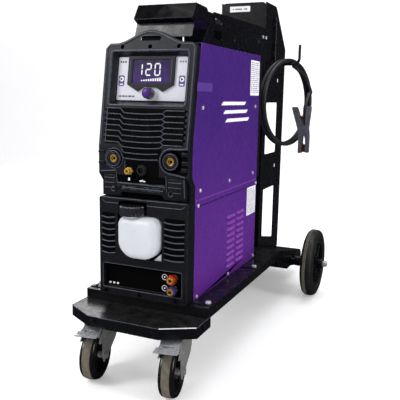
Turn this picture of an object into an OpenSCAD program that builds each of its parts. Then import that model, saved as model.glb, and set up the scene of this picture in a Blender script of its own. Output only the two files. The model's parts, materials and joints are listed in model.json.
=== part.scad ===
// TIG welding set: inverter power source on a liquid cooler, on a four-wheel cart.
// Millimetres. +Z up, front face towards -Y.
// Working coordinates put y = 0 on the cooler's front face and the floor at z = floor_z;
// place() moves the whole set so that the origin is the middle of its footprint on the floor.

/* [Casings] */
// Width of the two black front mouldings
case_w = 242; // [236:1:248]
// Height of the cooler above the tray
cooler_h = 249; // [246:1:252]
// Height of the power source above the cooler
source_h = 367; // [364:1:372]
// Depth from the cooler's front face to the rear edge of the sheet covers
case_d = 496; // [490:1:500]
// Lean of the control face, in degrees from upright
face_tilt = 9; // [8:0.5:10]

/* [Cart] */
// Width across the tray's side flanges
tray_w = 343; // [340:1:346]
// Height of the mast's top above the floor
mast_h = 1000; // [984:1:1024]
// Width of the mast, outside its side plates
mast_w = 155; // [154:0.5:156]

/* [Wheels] */
// Diameter of the swivel casters
caster_d = 125; // [123:1:126]
// Diameter of the rear wheels
rear_wheel_d = 236; // [228:1:240]
// Turn of both casters at rest, in degrees
caster_turn = 10; // [-25:1:25]

/* [Fits] */
// Radial clearance of a shaft that turns in its bore
running_gap = 0.05; // [0.02:0.01:0.1]
// Inside radius of the welding cable sockets
socket_bore_r = 6.6; // [6.5:0.05:6.8]

/* [Hidden] */
$fn = 48;

floor_z = 26;              // working height of the floor
tray_top = 226;            // working height of the tray's top
mast_top = floor_z + mast_h;
sheet = 3;                 // cart sheet thickness
skin = 1.5;                // casing cover thickness
hw = case_w / 2;           // half width of the mouldings
cover_hw = hw + 1;         // the covers lap over the mouldings
tray_hw = tray_w / 2;
mast_hw = mast_w / 2;
pan_top = tray_top - 25;
pan_low = pan_top - 27;
cooler_z = tray_top + 1;
source_z = cooler_z + cooler_h;
source_top = source_z + source_h;

// Pan outline: octagonal nose that carries the casters
nose_y = -96;
nose_hw = 94.5;
nose_side_y = -51;
pan_wide_y = 31;
tray_y0 = 14;
tray_y1 = 611;

// Casters
caster_r = caster_d / 2;
caster_w = 37;
caster_x = 106;
caster_y = -18;
caster_trail = 40;
caster_edge_r = 8;
caster_z = floor_z + caster_r;
pedal_reach = 104;         // from the swivel axis to the tip of the brake pedal
pedal_hw = 28;

// Rear end
wheel_r = rear_wheel_d / 2;
wheel_w = 44;
wheel_x = 239;
axle_y = 818;
axle_z = floor_z + wheel_r;
axle_r = 8;
slope_y1 = 888;
slope_z1 = 165;
drop_y = 905;
bottle_z = 105;
bottle_y1 = 1105;
bottle_hw = 125;
slope_run = slope_y1 - tray_y1;
slope_fall = tray_top - slope_z1;
slope_deg = atan(slope_fall / slope_run);

// Footprint: tips of the turned brake pedals to the rear of the bottle shelf
foot_front = caster_y - pedal_reach * cos(caster_turn) - pedal_hw * abs(sin(caster_turn));
mid_y = (foot_front + bottle_y1) / 2;

// Mast and shelf
mast_y0 = 677;
mast_y1 = 917;
arm_t = 3;

// Hook, cable coil and clamp
hook_r = 4.5;
hook_y = 771;
hook_x = mast_hw + 5.5;
hook_low = 834;
hook_bend = 20;
coil_r = 140;
cable_r = 7;
coil_x = 130;
coil_z = hook_low + hook_r + 0.5 - (coil_r - cable_r);
coil_turn = -18;
clamp_y = 805;
pivot_x = 195;
pivot_z = 612;

// Moulding profile of the power source, as (y, z)
face_z = 600;
chin_z = 533;
chin_y = 17;
moulding_d = 21;
panel_depth = 19;
arch_h = 30;
arch_hw = 95;

// Front fittings
socket_x = 76.5;
socket_z = 571;
gas_x = -33;
gas_z = 543;
control_z = 546;
coupling_x = 82;
coupling_z = [288, 260];
recess_y = 12;
cap_x = -27;
cap_y = 0;
cap_r = 32;
neck_top = 448;
tank_front = -27;          // the tank stands proud of the cooler's face

// Inside
fan_r = 57;
fan_y = 466;
source_fan_z = 690;
cooler_fan_z = 345;

// ---------- helpers ----------
module place() { translate([0, -mid_y, -floor_z]) children(); }
// 2D (y, z) drawn across x
module along_x(x0, t) { translate([x0, 0, 0]) rotate([90, 0, 90]) linear_extrude(t) children(); }
// 2D (x, z) drawn back along y
module along_y(y0, t) { translate([0, y0 + t, 0]) rotate([90, 0, 0]) linear_extrude(t) children(); }
// Cylinder along y from y0, length t
module rod_y(x, y0, z, r, t) { translate([x, y0, z]) rotate([-90, 0, 0]) cylinder(r = r, h = t); }
// Cylinder along x from x0, length t
module rod_x(x0, y, z, r, t) { translate([x0, y, z]) rotate([0, 90, 0]) cylinder(r = r, h = t); }
module both_sides() { children(); mirror([1, 0, 0]) children(); }
// Box given by its two corners
module block(a, b) { translate(a) cube(b - a); }

function unit(v) = v / norm(v);
function flat(p) = [p[0], p[1]];
// Points that replace corner b, between a and c, with an arc of radius r
function corner_arc(a, b, c, r, n) = r <= 0 ? [b] :
    let (u = unit(a - b), w = unit(c - b), half = acos(u * w) / 2, o = b + unit(u + w) * r / sin(half),
         s = b + u * r / tan(half) - o, e = b + w * r / tan(half) - o,
         a0 = atan2(s[1], s[0]), turn = (atan2(e[1], e[0]) - a0 + 540) % 360 - 180)
    [for (i = [0:n]) o + r * [cos(a0 + turn * i / n), sin(a0 + turn * i / n)]];
// Closed outline from [x, y, corner radius] entries
function outline(p, n = 6) = [for (i = [0:len(p) - 1])
    each corner_arc(flat(p[(i + len(p) - 1) % len(p)]), flat(p[i]), flat(p[(i + 1) % len(p)]), p[i][2], n)];
// Rounded rectangle from low corner a to high corner b
function pill(a, b, r) = outline([[a[0], a[1], r], [b[0], a[1], r], [b[0], b[1], r], [a[0], b[1], r]]);

// ---------- cart ----------
nose_angle = atan2(nose_side_y - nose_y, tray_hw - nose_hw);
// Pan outline drawn inwards by t, back to y
function pan_points(t, y) = let (kx = tan(nose_angle / 2), ky = tan((90 - nose_angle) / 2))
    [[-nose_hw + kx * t, nose_y + t], [nose_hw - kx * t, nose_y + t], [tray_hw - t, nose_side_y + ky * t],
     [tray_hw - t, y], [-tray_hw + t, y], [-tray_hw + t, nose_side_y + ky * t]];

flange_bolt_r = 3;
front_bolts = [[-82, 188], [82, 188]];
side_bolts = [[-10, 187], [61, 213]];   // (y, z): one in the pan, one in the tray
tray_bolt_x = 160;
tray_bolt_y = [40, 387];
mast_bolt_x = 58;
mast_bolt_y = [720, 850];
caster_bolt = [36, 27];                 // half spacing of the caster plate studs

module base_pan() {
    color([0.07, 0.07, 0.08]) place() difference() {
        union() {
            translate([0, 0, pan_top - sheet]) linear_extrude(sheet) polygon(pan_points(0, tray_y1));
            translate([0, 0, pan_low]) linear_extrude(pan_top - sheet - pan_low + 0.5) difference() {
                polygon(pan_points(0, pan_wide_y));
                polygon(pan_points(sheet, pan_wide_y + 1));
            }
        }
        for (p = front_bolts) rod_y(p[0], nose_y - 1, p[1], flange_bolt_r + 0.1, sheet + 2);
        both_sides() rod_x(tray_hw - sheet - 1, side_bolts[0][0], side_bolts[0][1], flange_bolt_r + 0.1, sheet + 2);
    }
}

module tray() {
    color([0.07, 0.07, 0.08]) place() difference() {
        block([-tray_hw, tray_y0, pan_top], [tray_hw, tray_y1, tray_top]);
        block([-tray_hw + sheet, tray_y0 + sheet, pan_top - 1], [tray_hw - sheet, tray_y1 - sheet, tray_top - sheet]);
        both_sides() rod_x(tray_hw - sheet - 1, side_bolts[1][0], side_bolts[1][1], flange_bolt_r + 0.1, sheet + 2);
        both_sides() for (y = tray_bolt_y) translate([tray_bolt_x, y, tray_top - sheet - 1]) cylinder(r = 4.1, h = sheet + 2);
    }
}

// Height of the sloping sheet's top at y
function slope_top(y) = y > slope_y1 ? slope_z1 : tray_top - (y - tray_y1) * slope_fall / slope_run;
// Frame on the slope at (x, y), z along its normal
module on_slope(x, y) { translate([x, y, slope_top(y)]) rotate([-slope_deg, 0, 0]) children(); }

module rear_frame() {
    side = outline([[tray_y1, tray_top, 0], [slope_y1, slope_z1, 0], [drop_y, slope_z1, 0], [drop_y + 12, slope_z1 - 12, 0],
        [drop_y + 12, bottle_z - sheet, 0], [885, bottle_z - sheet, 12], [868, 113, 0], [tray_y1, tray_top - 55, 0]]);
    top = [[tray_y1, tray_top], [slope_y1, slope_z1], [drop_y, slope_z1], [drop_y, bottle_z], [drop_y - sheet, bottle_z],
        [drop_y - sheet, slope_z1 - sheet], [slope_y1, slope_z1 - sheet], [tray_y1, tray_top - sheet]];
    color([0.07, 0.07, 0.08]) place() difference() {
        union() {
            both_sides() along_x(tray_hw - sheet, sheet) polygon(side);
            along_x(-tray_hw + sheet / 2, tray_w - sheet) polygon(top);
            block([-tray_hw + 1, tray_y1, tray_top - 55], [tray_hw - 1, tray_y1 + sheet, tray_top - 1]);
            difference() {
                block([-bottle_hw, drop_y - sheet, bottle_z - 24], [bottle_hw, bottle_y1, bottle_z]);
                block([-bottle_hw + sheet, drop_y, bottle_z - 30], [bottle_hw - sheet, bottle_y1 - sheet, bottle_z - sheet]);
            }
        }
        rod_x(-tray_hw - 1, axle_y, axle_z, axle_r + running_gap, tray_w + 2);
        both_sides() for (y = mast_bolt_y) on_slope(mast_bolt_x, y) translate([0, 0, -6]) cylinder(r = 4.1, h = 12);
    }
}

// Height of the mast's foot at y, just clear of the sloping sheet
function seat(y) = slope_top(y) + 0.02;

module mast() {
    front_corner = 16;
    side = outline([[mast_y0, seat(mast_y0), 0], [mast_y0, mast_top, 0], [792, mast_top, 34], [mast_y1 + 3, 893, 14],
        [mast_y1, seat(mast_y1), 0], [slope_y1, seat(slope_y1), 0]]);
    face = outline([[-mast_hw, seat(mast_y0), 0], [mast_hw, seat(mast_y0), 0],
        [mast_hw, mast_top, front_corner], [-mast_hw, mast_top, front_corner]]);
    foot_in = 34;
    color([0.07, 0.07, 0.08]) place() difference() {
        union() {
            along_y(mast_y0, sheet) polygon(face);
            both_sides() difference() {
                along_x(mast_hw - sheet, sheet) polygon(side);
                along_x(mast_hw - sheet - 1, sheet + 2) mast_openings();
            }
            both_sides() along_x(mast_hw - foot_in, foot_in - 0.5) polygon([[mast_y0 + 1, seat(mast_y0 + 1)],
                [880, seat(880)], [880, seat(880) + sheet], [mast_y0 + 1, seat(mast_y0 + 1) + sheet]]);
        }
        both_sides() for (y = mast_bolt_y) on_slope(mast_bolt_x, y) translate([0, 0, -6]) cylinder(r = 4.1, h = 12);
    }
}

// Cut-outs of the mast's side plates, as (y, z)
module mast_openings() {
    polygon(pill([714, 530], [842, 705], 6));
    polygon(outline([[714, 244, 6], [842, 216, 6], [842, 408, 6], [714, 408, 6]]));
    for (z = [782, 481]) {
        translate([840, z]) circle(r = 8);
        translate([840 - 3, z - 30]) square([6, 30]);
    }
    for (z = [[671, 731], [384, 443]]) polygon(pill([871, z[0]], [877, z[1]], 2.9));
    for (z = [[905, 925], [955, 975]]) polygon(pill([748, z[0]], [756, z[1]], 3.9));
}

module torch_shelf() {
    arm = outline([[162, 852, 4], [230, 935, 4], [655, 943, 0], [694, 930, 18], [694, 872, 18], [660, 858, 0]]);
    wall = outline([[98, 905, 2], [122, 942, 2], [184, 939, 3], [192, 931, 3], [236, 931, 0], [236, 902, 0]]);
    nose = [[122, 942], [98, 905], [113, 896], [100, 862], [103, 861], [116.5, 897], [102, 906], [124.6, 940.4]];
    color([0.07, 0.07, 0.08]) place() {
        both_sides() difference() {
            along_x(mast_hw, arm_t) union() { polygon(arm); polygon(wall); }
            along_x(mast_hw - 1, arm_t + 2) arm_openings();
        }
        along_x(-mast_hw - 1, mast_w + 2) polygon(nose);
        block([-mast_hw - 1, 103, 903], [mast_hw + 1, 330, 906]);
        block([-mast_hw - 1, 327, 906], [mast_hw + 1, 330, 930]);
    }
}

// Openings of the shelf's side plates, as (y, z)
module arm_openings() {
    polygon(pill([238, 908], [287, 920], 5.9));
    polygon(pill([234, 868], [288, 892], 3));
    for (p = [[384, 886], [600, 900]]) polygon(pill(p - [7, 10], p + [7, 10], 6.9));
    for (y = [640, 672]) translate([y, 912]) circle(r = 3.1);
}

module cable_hook() {
    color([0.12, 0.12, 0.13]) place() translate([0, hook_y, 0]) {
        translate([hook_x, 0, hook_low + hook_bend]) cylinder(r = hook_r, h = 129);
        translate([hook_x, 0, hook_low + hook_bend + 129]) sphere(r = hook_r);
        translate([hook_x + hook_bend, 0, hook_low + hook_bend]) rotate([90, 0, 0])
            rotate([0, 0, 180]) rotate_extrude(angle = 90) translate([hook_bend, 0]) circle(r = hook_r);
        rod_x(hook_x + hook_bend, 0, hook_low, hook_r, 46);
        translate([hook_x + hook_bend + 46, 0, hook_low + hook_bend]) rotate([90, 0, 0])
            rotate([0, 0, -90]) rotate_extrude(angle = 90) translate([hook_bend, 0]) circle(r = hook_r);
        translate([hook_x + 2 * hook_bend + 46, 0, hook_low + hook_bend]) cylinder(r = hook_r, h = 40);
        translate([hook_x + 2 * hook_bend + 46, 0, hook_low + hook_bend + 40]) sphere(r = hook_r);
        for (z = [870, 962]) block([mast_hw, -9, z - 7], [hook_x + 1, 9, z + 7]);
    }
}

module rear_axle() {
    axle_len = 2 * (wheel_x + 47);
    color([0.75, 0.76, 0.78]) place() rod_x(-axle_len / 2, axle_y, axle_z, axle_r, axle_len);
}

module axle_nuts() {
    color([0.8, 0.81, 0.83]) place() both_sides() difference() {
        union() {
            rod_x(wheel_x + 37.5, axle_y, axle_z, 11, 11.5);
            rod_x(wheel_x + 49, axle_y, axle_z, 8.5, 3);
        }
        rod_x(wheel_x + 37, axle_y, axle_z, axle_r + 0.02, 10.02);
    }
}

// Round-headed bolt, head on z = 0, shank downwards
module bolt(head_r, head_h, shank_r, shank) {
    cylinder(r = head_r, h = head_h);
    translate([0, 0, -shank]) cylinder(r = shank_r, h = shank + 0.5);
}

module cart_bolts() {
    color([0.8, 0.81, 0.83]) place() {
        for (p = front_bolts) translate([p[0], nose_y, p[1]]) rotate([90, 0, 0]) bolt(5.5, 3, flange_bolt_r, 8);
        both_sides() for (p = side_bolts) translate([tray_hw, p[0], p[1]]) rotate([0, 90, 0]) bolt(5.5, 3, flange_bolt_r, 8);
        both_sides() for (y = tray_bolt_y) translate([tray_bolt_x, y, tray_top + 2.5]) hex_bolt(10);
        both_sides() for (y = mast_bolt_y) on_slope(mast_bolt_x, y) translate([0, 0, sheet + 0.1]) hex_bolt(12);
        both_sides() for (i = [-1, 1], j = [-1, 1])
            translate([caster_x + i * caster_bolt[0], caster_y + j * caster_bolt[1], 0]) caster_stud();
        for (s = [-1, 1], y = [640, 672]) translate([s * (mast_hw + arm_t), y, 912]) rotate([0, s * 90, 0])
            cylinder(r = 5, h = 2.5);
    }
}
// Stud welded under the pan, with the nut that holds the caster plate
module caster_stud() {
    translate([0, 0, 187]) cylinder(r = 4, h = pan_top - sheet - 187);
    translate([0, 0, 188]) cylinder(r = 7, h = 5, $fn = 6);
}
module hex_bolt(shank) {
    cylinder(r = 7.5, h = 5.3, $fn = 6);
    translate([0, 0, -shank]) cylinder(r = 4, h = shank + 0.5);
}

// ---------- swivel casters ----------
plate_z = pan_top - sheet - 5;   // underside of the caster plates
crown_z = 184;                   // top of the swivelling fork
module caster_plates() {
    color([0.78, 0.79, 0.81]) place() both_sides() translate([caster_x, caster_y, 0]) difference() {
        union() {
            block([-46, -36, plate_z], [46, 36, plate_z + 5]);
            translate([0, 0, crown_z + 0.2]) cylinder(r = 27, h = plate_z - crown_z);
            translate([0, 0, 158]) cylinder(r = kingpin_r, h = plate_z - 156);
            translate([0, 0, 156]) cylinder(r = 12, h = 5.9);
        }
        for (i = [-1, 1], j = [-1, 1]) translate([i * caster_bolt[0], j * caster_bolt[1], 180]) cylinder(r = 4.1, h = 30);
    }
}

// Frame of a caster's fork: z on the swivel axis, -y towards the wheel
module at_caster(side) { translate([side * caster_x, caster_y, 0]) rotate([0, 0, caster_turn]) children(); }

fork_in = 23;        // half gap between the fork legs
fork_t = 3;
pedal_y = -42;
pedal_z = 138;
pedal_pin_r = 3;
kingpin_r = 7;
caster_axle_r = 6;
module caster_fork(side) {
    leg = outline([[44, crown_z, 5], [46, 150, 30], [36, 112, 30], [-2, 92, 30], [-47, 70, 4], [-55, 100, 12],
        [-53, 124, 4], [-76, 130, 3], [-44, 170, 4], [-40, crown_z, 5]]);
    color([0.78, 0.79, 0.81]) place() at_caster(side) {
        difference() {
            union() {
                for (x = [-fork_in - fork_t, fork_in]) along_x(x, fork_t) polygon(leg);
                translate([0, 0, crown_z - 6]) linear_extrude(6)
                    polygon(pill([-fork_in - fork_t + 0.5, -38], [fork_in + fork_t - 0.5, 43], 4));
                translate([0, 0, 162]) cylinder(r = 20, h = crown_z - 162);
            }
            translate([0, 0, 150]) cylinder(r = kingpin_r + running_gap, h = 40);
            rod_x(-40, pedal_y, pedal_z, pedal_pin_r + running_gap, 80);
        }
        rod_x(-fork_in - 4, -caster_trail, caster_z, caster_axle_r, 2 * fork_in + 8);
        for (s = [-1, 1]) translate([s * (fork_in + fork_t), -caster_trail, caster_z]) rotate([0, s * 90, 0])
            cylinder(r = 9, h = 6, $fn = 6);
    }
}
module caster_fork_left() { caster_fork(-1); }
module caster_fork_right() { caster_fork(1); }

module caster_wheel(side) {
    hub = fork_in - 0.8;
    half = caster_w / 2;
    bore = caster_axle_r + running_gap;
    profile = concat([[bore, -hub], [9, -hub], [9, -6], [42, -6], [45, -half + 2]],
        outline([[45, -half, 1], [caster_r, -half, caster_edge_r], [caster_r, half, caster_edge_r], [45, half, 1]]),
        [[45, half - 2], [42, 6], [9, 6], [9, hub], [bore, hub]]);
    color([0.1, 0.1, 0.1]) place() at_caster(side) translate([0, -caster_trail, caster_z]) rotate([0, 90, 0])
        rotate_extrude() polygon(profile);
}
module caster_wheel_left() { caster_wheel(-1); }
module caster_wheel_right() { caster_wheel(1); }

// Treadle over the tyre, with two arms on stub pins in the fork legs and a broad lip
module brake_pedal(side) {
    arm = outline([[-34, 132, 4], [-50, 132, 4], [-80, 149, 2], [-79, 157.5, 2], [-40, 166, 4], [-33, 162, 4]]);
    web = [[-38, 167], [-79, 158.4], [-79, 155.8], [-38, 164.3]];
    lip = [[-77, 158.8], [-pedal_reach + 3, 157.2], [-pedal_reach, 159], [-pedal_reach, 156.2], [-pedal_reach + 3, 154.6],
        [-77, 156.2]];
    shoe = [[-46, 164], [-66, 160], [-66, 152.5], [-60, 152.5], [-46, 156]];
    color([0.78, 0.79, 0.81]) place() at_caster(side) {
        for (x = [-fork_in + 0.5, fork_in - 3]) along_x(x, 2.5) polygon(arm);
        difference() {
            along_x(-fork_in + 0.5, 2 * fork_in - 1) polygon(web);
            block([-13, -76, 140], [13, -68, 170]);
        }
        along_x(-pedal_hw, 2 * pedal_hw) polygon(lip);
        along_x(-13, 26) polygon(shoe);
        for (s = [-1, 1]) translate([s * (fork_in - 1.5), pedal_y, pedal_z]) rotate([0, s * 90, 0]) {
            cylinder(r = pedal_pin_r, h = fork_t + 2.5);
            translate([0, 0, fork_t + 1.6]) cylinder(r = 4.5, h = 1.6);
        }
    }
}
module brake_pedal_left() { brake_pedal(-1); }
module brake_pedal_right() { brake_pedal(1); }

// ---------- rear wheels ----------
rim_r = 80;
module rear_rim(side) {
    in = wheel_w / 2;
    color([0.08, 0.08, 0.09]) place() translate([side * wheel_x, axle_y, axle_z]) rotate([0, side * 90, 0]) difference() {
        union() {
            rotate_extrude() polygon([[72, -in + 4], [rim_r, -in + 2], [rim_r - 0.1, -in + 3], [rim_r - 0.1, in - 3],
                [rim_r, in - 2], [72, in - 4]]);
            translate([0, 0, -5]) cylinder(r = 73, h = 10);
            translate([0, 0, -64]) cylinder(r = 19, h = 101);
            for (i = [0:4]) rotate([0, 0, i * 72]) block([16, -5, -14], [73, 5, 14]);
        }
        translate([0, 0, -70]) cylinder(r = axle_r + running_gap, h = 120);
        for (i = [0:4]) rotate([0, 0, i * 72 + 36]) translate([46, 0, -20]) cylinder(r = 15, h = 40);
    }
}
module rear_rim_left() { rear_rim(-1); }
module rear_rim_right() { rear_rim(1); }

module rear_tyre(side) {
    in = wheel_w / 2;
    color([0.12, 0.12, 0.12]) place() translate([side * wheel_x, axle_y, axle_z]) rotate([0, side * 90, 0])
        rotate_extrude() polygon(outline([[rim_r + 0.1, -in + 4, 0], [rim_r + 6, -in, 3], [wheel_r - 14, -in, 10],
            [wheel_r, -12, 8], [wheel_r, 12, 8], [wheel_r - 14, in, 10], [rim_r + 6, in, 3], [rim_r + 0.1, in - 4, 0]], 4));
}
module rear_tyre_left() { rear_tyre(-1); }
module rear_tyre_right() { rear_tyre(1); }

// ---------- earth cable and clamp ----------
module earth_cable() {
    color([0.08, 0.08, 0.08]) place() translate([coil_x, hook_y, coil_z]) rotate([0, 0, coil_turn - 90 + 180])
        rotate([90, 0, 0]) for (i = [-1, 1]) translate([0, 0, i * (cable_r + 0.4)])
            rotate_extrude($fn = 96) translate([coil_r, 0]) circle(r = cable_r);
}

ear_half = 11;       // half width of the fixed arm, across y
arm_half = 7;        // half width of the moving arm
pin_r = 3;
module at_pivot() { translate([pivot_x, clamp_y, pivot_z]) rotate([90, 0, 0]) children(); }
// 2D (x, z) about the pivot, centred on the clamp's mid plane
module clamp_plate(half) { at_pivot() translate([0, 0, -half]) linear_extrude(2 * half) children(); }

module clamp_fixed_arm() {
    arm = outline([[-52, 80, 5], [-34, 80, 4], [-13, 22, 12], [8, 12, 8], [8, -8, 6], [-9, -14, 8], [-13, -78, 2],
        [-24, -78, 3], [-24, -20, 12], [-27, 0, 16]]);
    color([0.76, 0.76, 0.77]) place() difference() {
        clamp_plate(ear_half) polygon(arm);
        clamp_plate(arm_half + 0.3) polygon([[-9.5, 30], [12, 30], [12, -30], [-8.5, -30], [-9.5, -8]]);
        at_pivot() translate([0, 0, -20]) cylinder(r = pin_r + 0.1, h = 40);
        clamp_plate(arm_half + 0.8) polygon([[-60, 84], [-60, 76], [-39, 76], [-22, 24], [-14, 28], [-31, 84]]);
    }
}

module clamp_moving_arm() {
    arm = outline([[-3, 82, 4], [16, 84, 5], [10, 10, 10], [13, -20, 12], [13, -76, 3], [1, -76, 2], [-1, -30, 12],
        [-6.5, -12, 5], [-6.5, 8, 5], [-3, 20, 12]]);
    color([0.72, 0.72, 0.74]) place() difference() {
        clamp_plate(arm_half) polygon(arm);
        at_pivot() translate([0, 0, -20]) cylinder(r = pin_r + running_gap, h = 40);
    }
}

module clamp_pin() {
    color([0.6, 0.6, 0.62]) place() at_pivot() {
        translate([0, 0, -ear_half - 1]) cylinder(r = pin_r, h = 2 * ear_half + 2);
        for (s = [-1, 1]) translate([0, 0, s * (ear_half + 1.05) - 1]) cylinder(r = 5, h = 2);
    }
}

module clamp_spring() {
    color([0.75, 0.45, 0.25]) place() translate([pivot_x - 10.7, clamp_y, pivot_z + 46]) rotate([0, 90, 0])
        translate([0, 0, -10.5]) difference() {
            cylinder(r = 5, h = 16);
            translate([0, 0, -1]) cylinder(r = 3.6, h = 18);
        }
}

module clamp_contact_fixed() {
    color([0.72, 0.42, 0.25]) place() clamp_plate(9) polygon([[-11.15, -50], [-10.8, -44], [-8, -46],
        [-7.5, -74], [-12.8, -76]]);
}
module clamp_contact_moving() {
    color([0.72, 0.42, 0.25]) place() clamp_plate(5) polygon([[-0.4, -46], [-5.5, -48], [-6.5, -74],
        [0.9, -75]]);
}

// ---------- cooler ----------
louvre_rows = 7;
louvre_pitch = 15;
front_screw = [[-103, 236], [-8, 236], [91, 236]];
cover_screw_r = 2;
// Screws on each side wall, as (y, z)
cooler_screws = [[54, 463], [488, 464], [54, 236], [267, 236], [484, 236]];
source_screws = [[71, 695], [459, 695], [64, 499], [260, 499], [455, 499]];

module cooler_front() {
    zb = cooler_z;
    zt = source_z - 0.5;
    tank_window = outline([[-70, 327, 46], [54, 327, 8], [54, 436, 8], [12, 438, 0], [12, 469, 4], [-66, 469, 4],
        [-66, 438, 0], [-70, 436, 4]]);
    recess = [[-110, 246], [106, 306]];
    color([0.06, 0.06, 0.07]) place() difference() {
        union() {
            difference() {
                along_y(0, 39) polygon(pill([-hw, zb], [hw, zt], 6));
                along_y(sheet, 40) polygon(pill([-hw + sheet, zb + sheet], [hw - sheet, zt - sheet], 3));
            }
            along_y(0.5, recess_y + 2.5) polygon(pill(recess[0] - [2.5, 2.5], recess[1] + [2.5, 2.5], 4));
        }
        along_y(-1, 50) polygon(tank_window);
        along_y(-1, recess_y + 1) polygon(pill(recess[0], recess[1], 3));
        for (z = coupling_z) rod_y(coupling_x, -1, z, 8.6, 30);
        for (i = [0:louvre_rows - 1]) for (x = [[-112, -78], [62, 112]])
            along_y(-1, 3 + 2) polygon(pill([x[0], 335 + i * louvre_pitch], [x[1], 341.5 + i * louvre_pitch], 2));
        for (p = front_screw) rod_y(p[0], -1, p[1], cover_screw_r + 0.1, 8);
    }
}

// Sheet cover wrapped over a unit: side outline in (y, z), open below
module cover_shell(side, front_y, zt) {
    difference() {
        along_x(-cover_hw, 2 * cover_hw) polygon(side);
        block([-cover_hw + skin, front_y - 1, 0], [cover_hw - skin, case_d + 1, zt - skin]);
    }
}

module cooler_cover() {
    side = [[39, cooler_z], [case_d, cooler_z], [case_d, source_z], [39, source_z]];
    color([0.36, 0.16, 0.56]) place() difference() {
        cover_shell(side, 39, source_z);
        both_sides() {
            for (p = cooler_screws) rod_x(cover_hw - 5, p[0], p[1], cover_screw_r + 0.2, 10);
            for (i = [0:8], y = [256, 330]) along_x(cover_hw - 5, 10)
                polygon([[y, 252 + i * 17.4], [y + 56, 252 + i * 17.4], [y + 56, 255 + i * 17.4], [y, 255 + i * 17.4]]);
        }
    }
}

module cooler_base() {
    color([0.1, 0.1, 0.11]) place() difference() {
        union() {
            block([-119.5, 42, cooler_z], [119.5, case_d - 3, cooler_z + 2]);
            both_sides() block([cover_hw - skin - 2, 42, cooler_z], [cover_hw - skin, case_d - 3, cooler_z + 20]);
            both_sides() for (y = tray_bolt_y) {
                block([108, y - 11, tray_top], [170, y + 11, tray_top + 1]);
                block([cover_hw + 1, y - 11, tray_top], [170, y + 11, tray_top + 2.5]);
            }
        }
        both_sides() for (y = tray_bolt_y) translate([tray_bolt_x, y, tray_top - 1]) cylinder(r = 4.1, h = 5);
        both_sides() for (p = cooler_screws) rod_x(cover_hw - 8, p[0], p[1], cover_screw_r + 0.1, 10);
    }
}

module cooler_rear() {
    color([0.06, 0.06, 0.07]) place() difference() {
        block([-hw, case_d, cooler_z], [hw, case_d + sheet, source_z - 0.5]);
        for (i = [-5:5]) block([-50, case_d - 1, cooler_fan_z + i * 9 - 2.5], [50, case_d + 5, cooler_fan_z + i * 9 + 2.5]);
    }
}

module coolant_tank() {
    body = outline([[-62, 331, 44], [53, 331, 42], [53, 434, 16], [-62, 434, 12]]);
    inner = outline([[-59.5, 333.5, 41.5], [50.5, 333.5, 39.5], [50.5, 431.5, 13.5], [-59.5, 431.5, 9.5]]);
    color([0.92, 0.93, 0.93]) place() difference() {
        union() {
            intersection() {
                along_y(tank_front, 130 - tank_front) polygon(body);
                translate([0, 0, 330]) linear_extrude(105) polygon(pill([-62, tank_front], [53, 130], 20));
            }
            translate([cap_x, cap_y, 433]) cylinder(r = 23, h = neck_top - 433);
        }
        intersection() {
            along_y(tank_front + 2.5, 125 - tank_front) polygon(inner);
            translate([0, 0, 330]) linear_extrude(105) polygon(pill([-59.5, tank_front + 2.5], [50.5, 127.5], 17.5));
        }
        translate([cap_x, cap_y, 425]) cylinder(r = 20, h = 40);
    }
}

module cap_seal() {
    color([0.2, 0.2, 0.2]) place() translate([cap_x, cap_y, neck_top]) difference() {
        cylinder(r = 23, h = 2);
        translate([0, 0, -1]) cylinder(r = 18, h = 4);
    }
}

module tank_cap() {
    color([0.07, 0.07, 0.07]) place() translate([cap_x, cap_y, 0]) difference() {
        union() {
            translate([0, 0, 436]) cylinder(r = cap_r - 1.5, h = 24);
            for (i = [0:23]) rotate([0, 0, i * 15]) block([cap_r - 4, -2, 436], [cap_r, 2, 457]);
        }
        translate([0, 0, 430]) cylinder(r = 23.4, h = neck_top + 2.05 - 430);
    }
}

module radiator() {
    color([0.7, 0.71, 0.72]) place() difference() {
        union() {
            block([-95, 400, 250], [95, 438, 440]);
            for (s = [-1, 1]) block([s * 95 - 8, 396, 246], [s * 95 + 8, 442, 444]);
        }
        for (i = [0:17]) block([-86, 395, 254 + i * 10.2], [86, 445, 257.2 + i * 10.2]);
    }
}

module pump() {
    color([0.25, 0.27, 0.3]) place() {
        rod_y(0, 170, 276, 42, 130);
        rod_y(0, 150, 276, 30, 30);
        block([-34, 180, cooler_z + 2], [34, 280, 250]);
        rod_y(0, 132, 276, 9, 20);
        translate([0, 160, 276]) cylinder(r = 9, h = 52);
    }
}

module coupling_bodies() {
    color([0.8, 0.62, 0.28]) place() for (z = coupling_z) difference() {
        union() {
            rod_y(coupling_x, -14, z, 8, 46);
            translate([coupling_x, recess_y - 4, z]) rotate([-90, 0, 0]) cylinder(r = 11, h = 4, $fn = 6);
            rod_y(coupling_x, recess_y + 3, z, 10, 4);
        }
        rod_y(coupling_x, -15, z, 4.5, 60);
    }
}
module sleeve(z) {
    place() difference() {
        rod_y(coupling_x, -9, z, 12, 12.5);
        rod_y(coupling_x, -10, z, 8 + running_gap, 20);
    }
}
module red_sleeve() { color([0.75, 0.08, 0.06]) sleeve(coupling_z[0]); }
module blue_sleeve() { color([0.1, 0.2, 0.6]) sleeve(coupling_z[1]); }

// ---------- power source ----------
chin_ramp = 20;
// Front outline of the moulding in (y, z), moved back by d
function face_points(d, zt, zb) = let (lean = tan(face_tilt))
    [[chin_y + d, zb], [chin_y + d, chin_z - chin_ramp], [d, chin_z], [d, face_z], [d + (zt - face_z) * lean, zt]];
// Frame on the leaning face: z up along it, y into the machine
module on_face() { translate([0, 0, face_z]) rotate([-face_tilt, 0, 0]) children(); }

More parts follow.
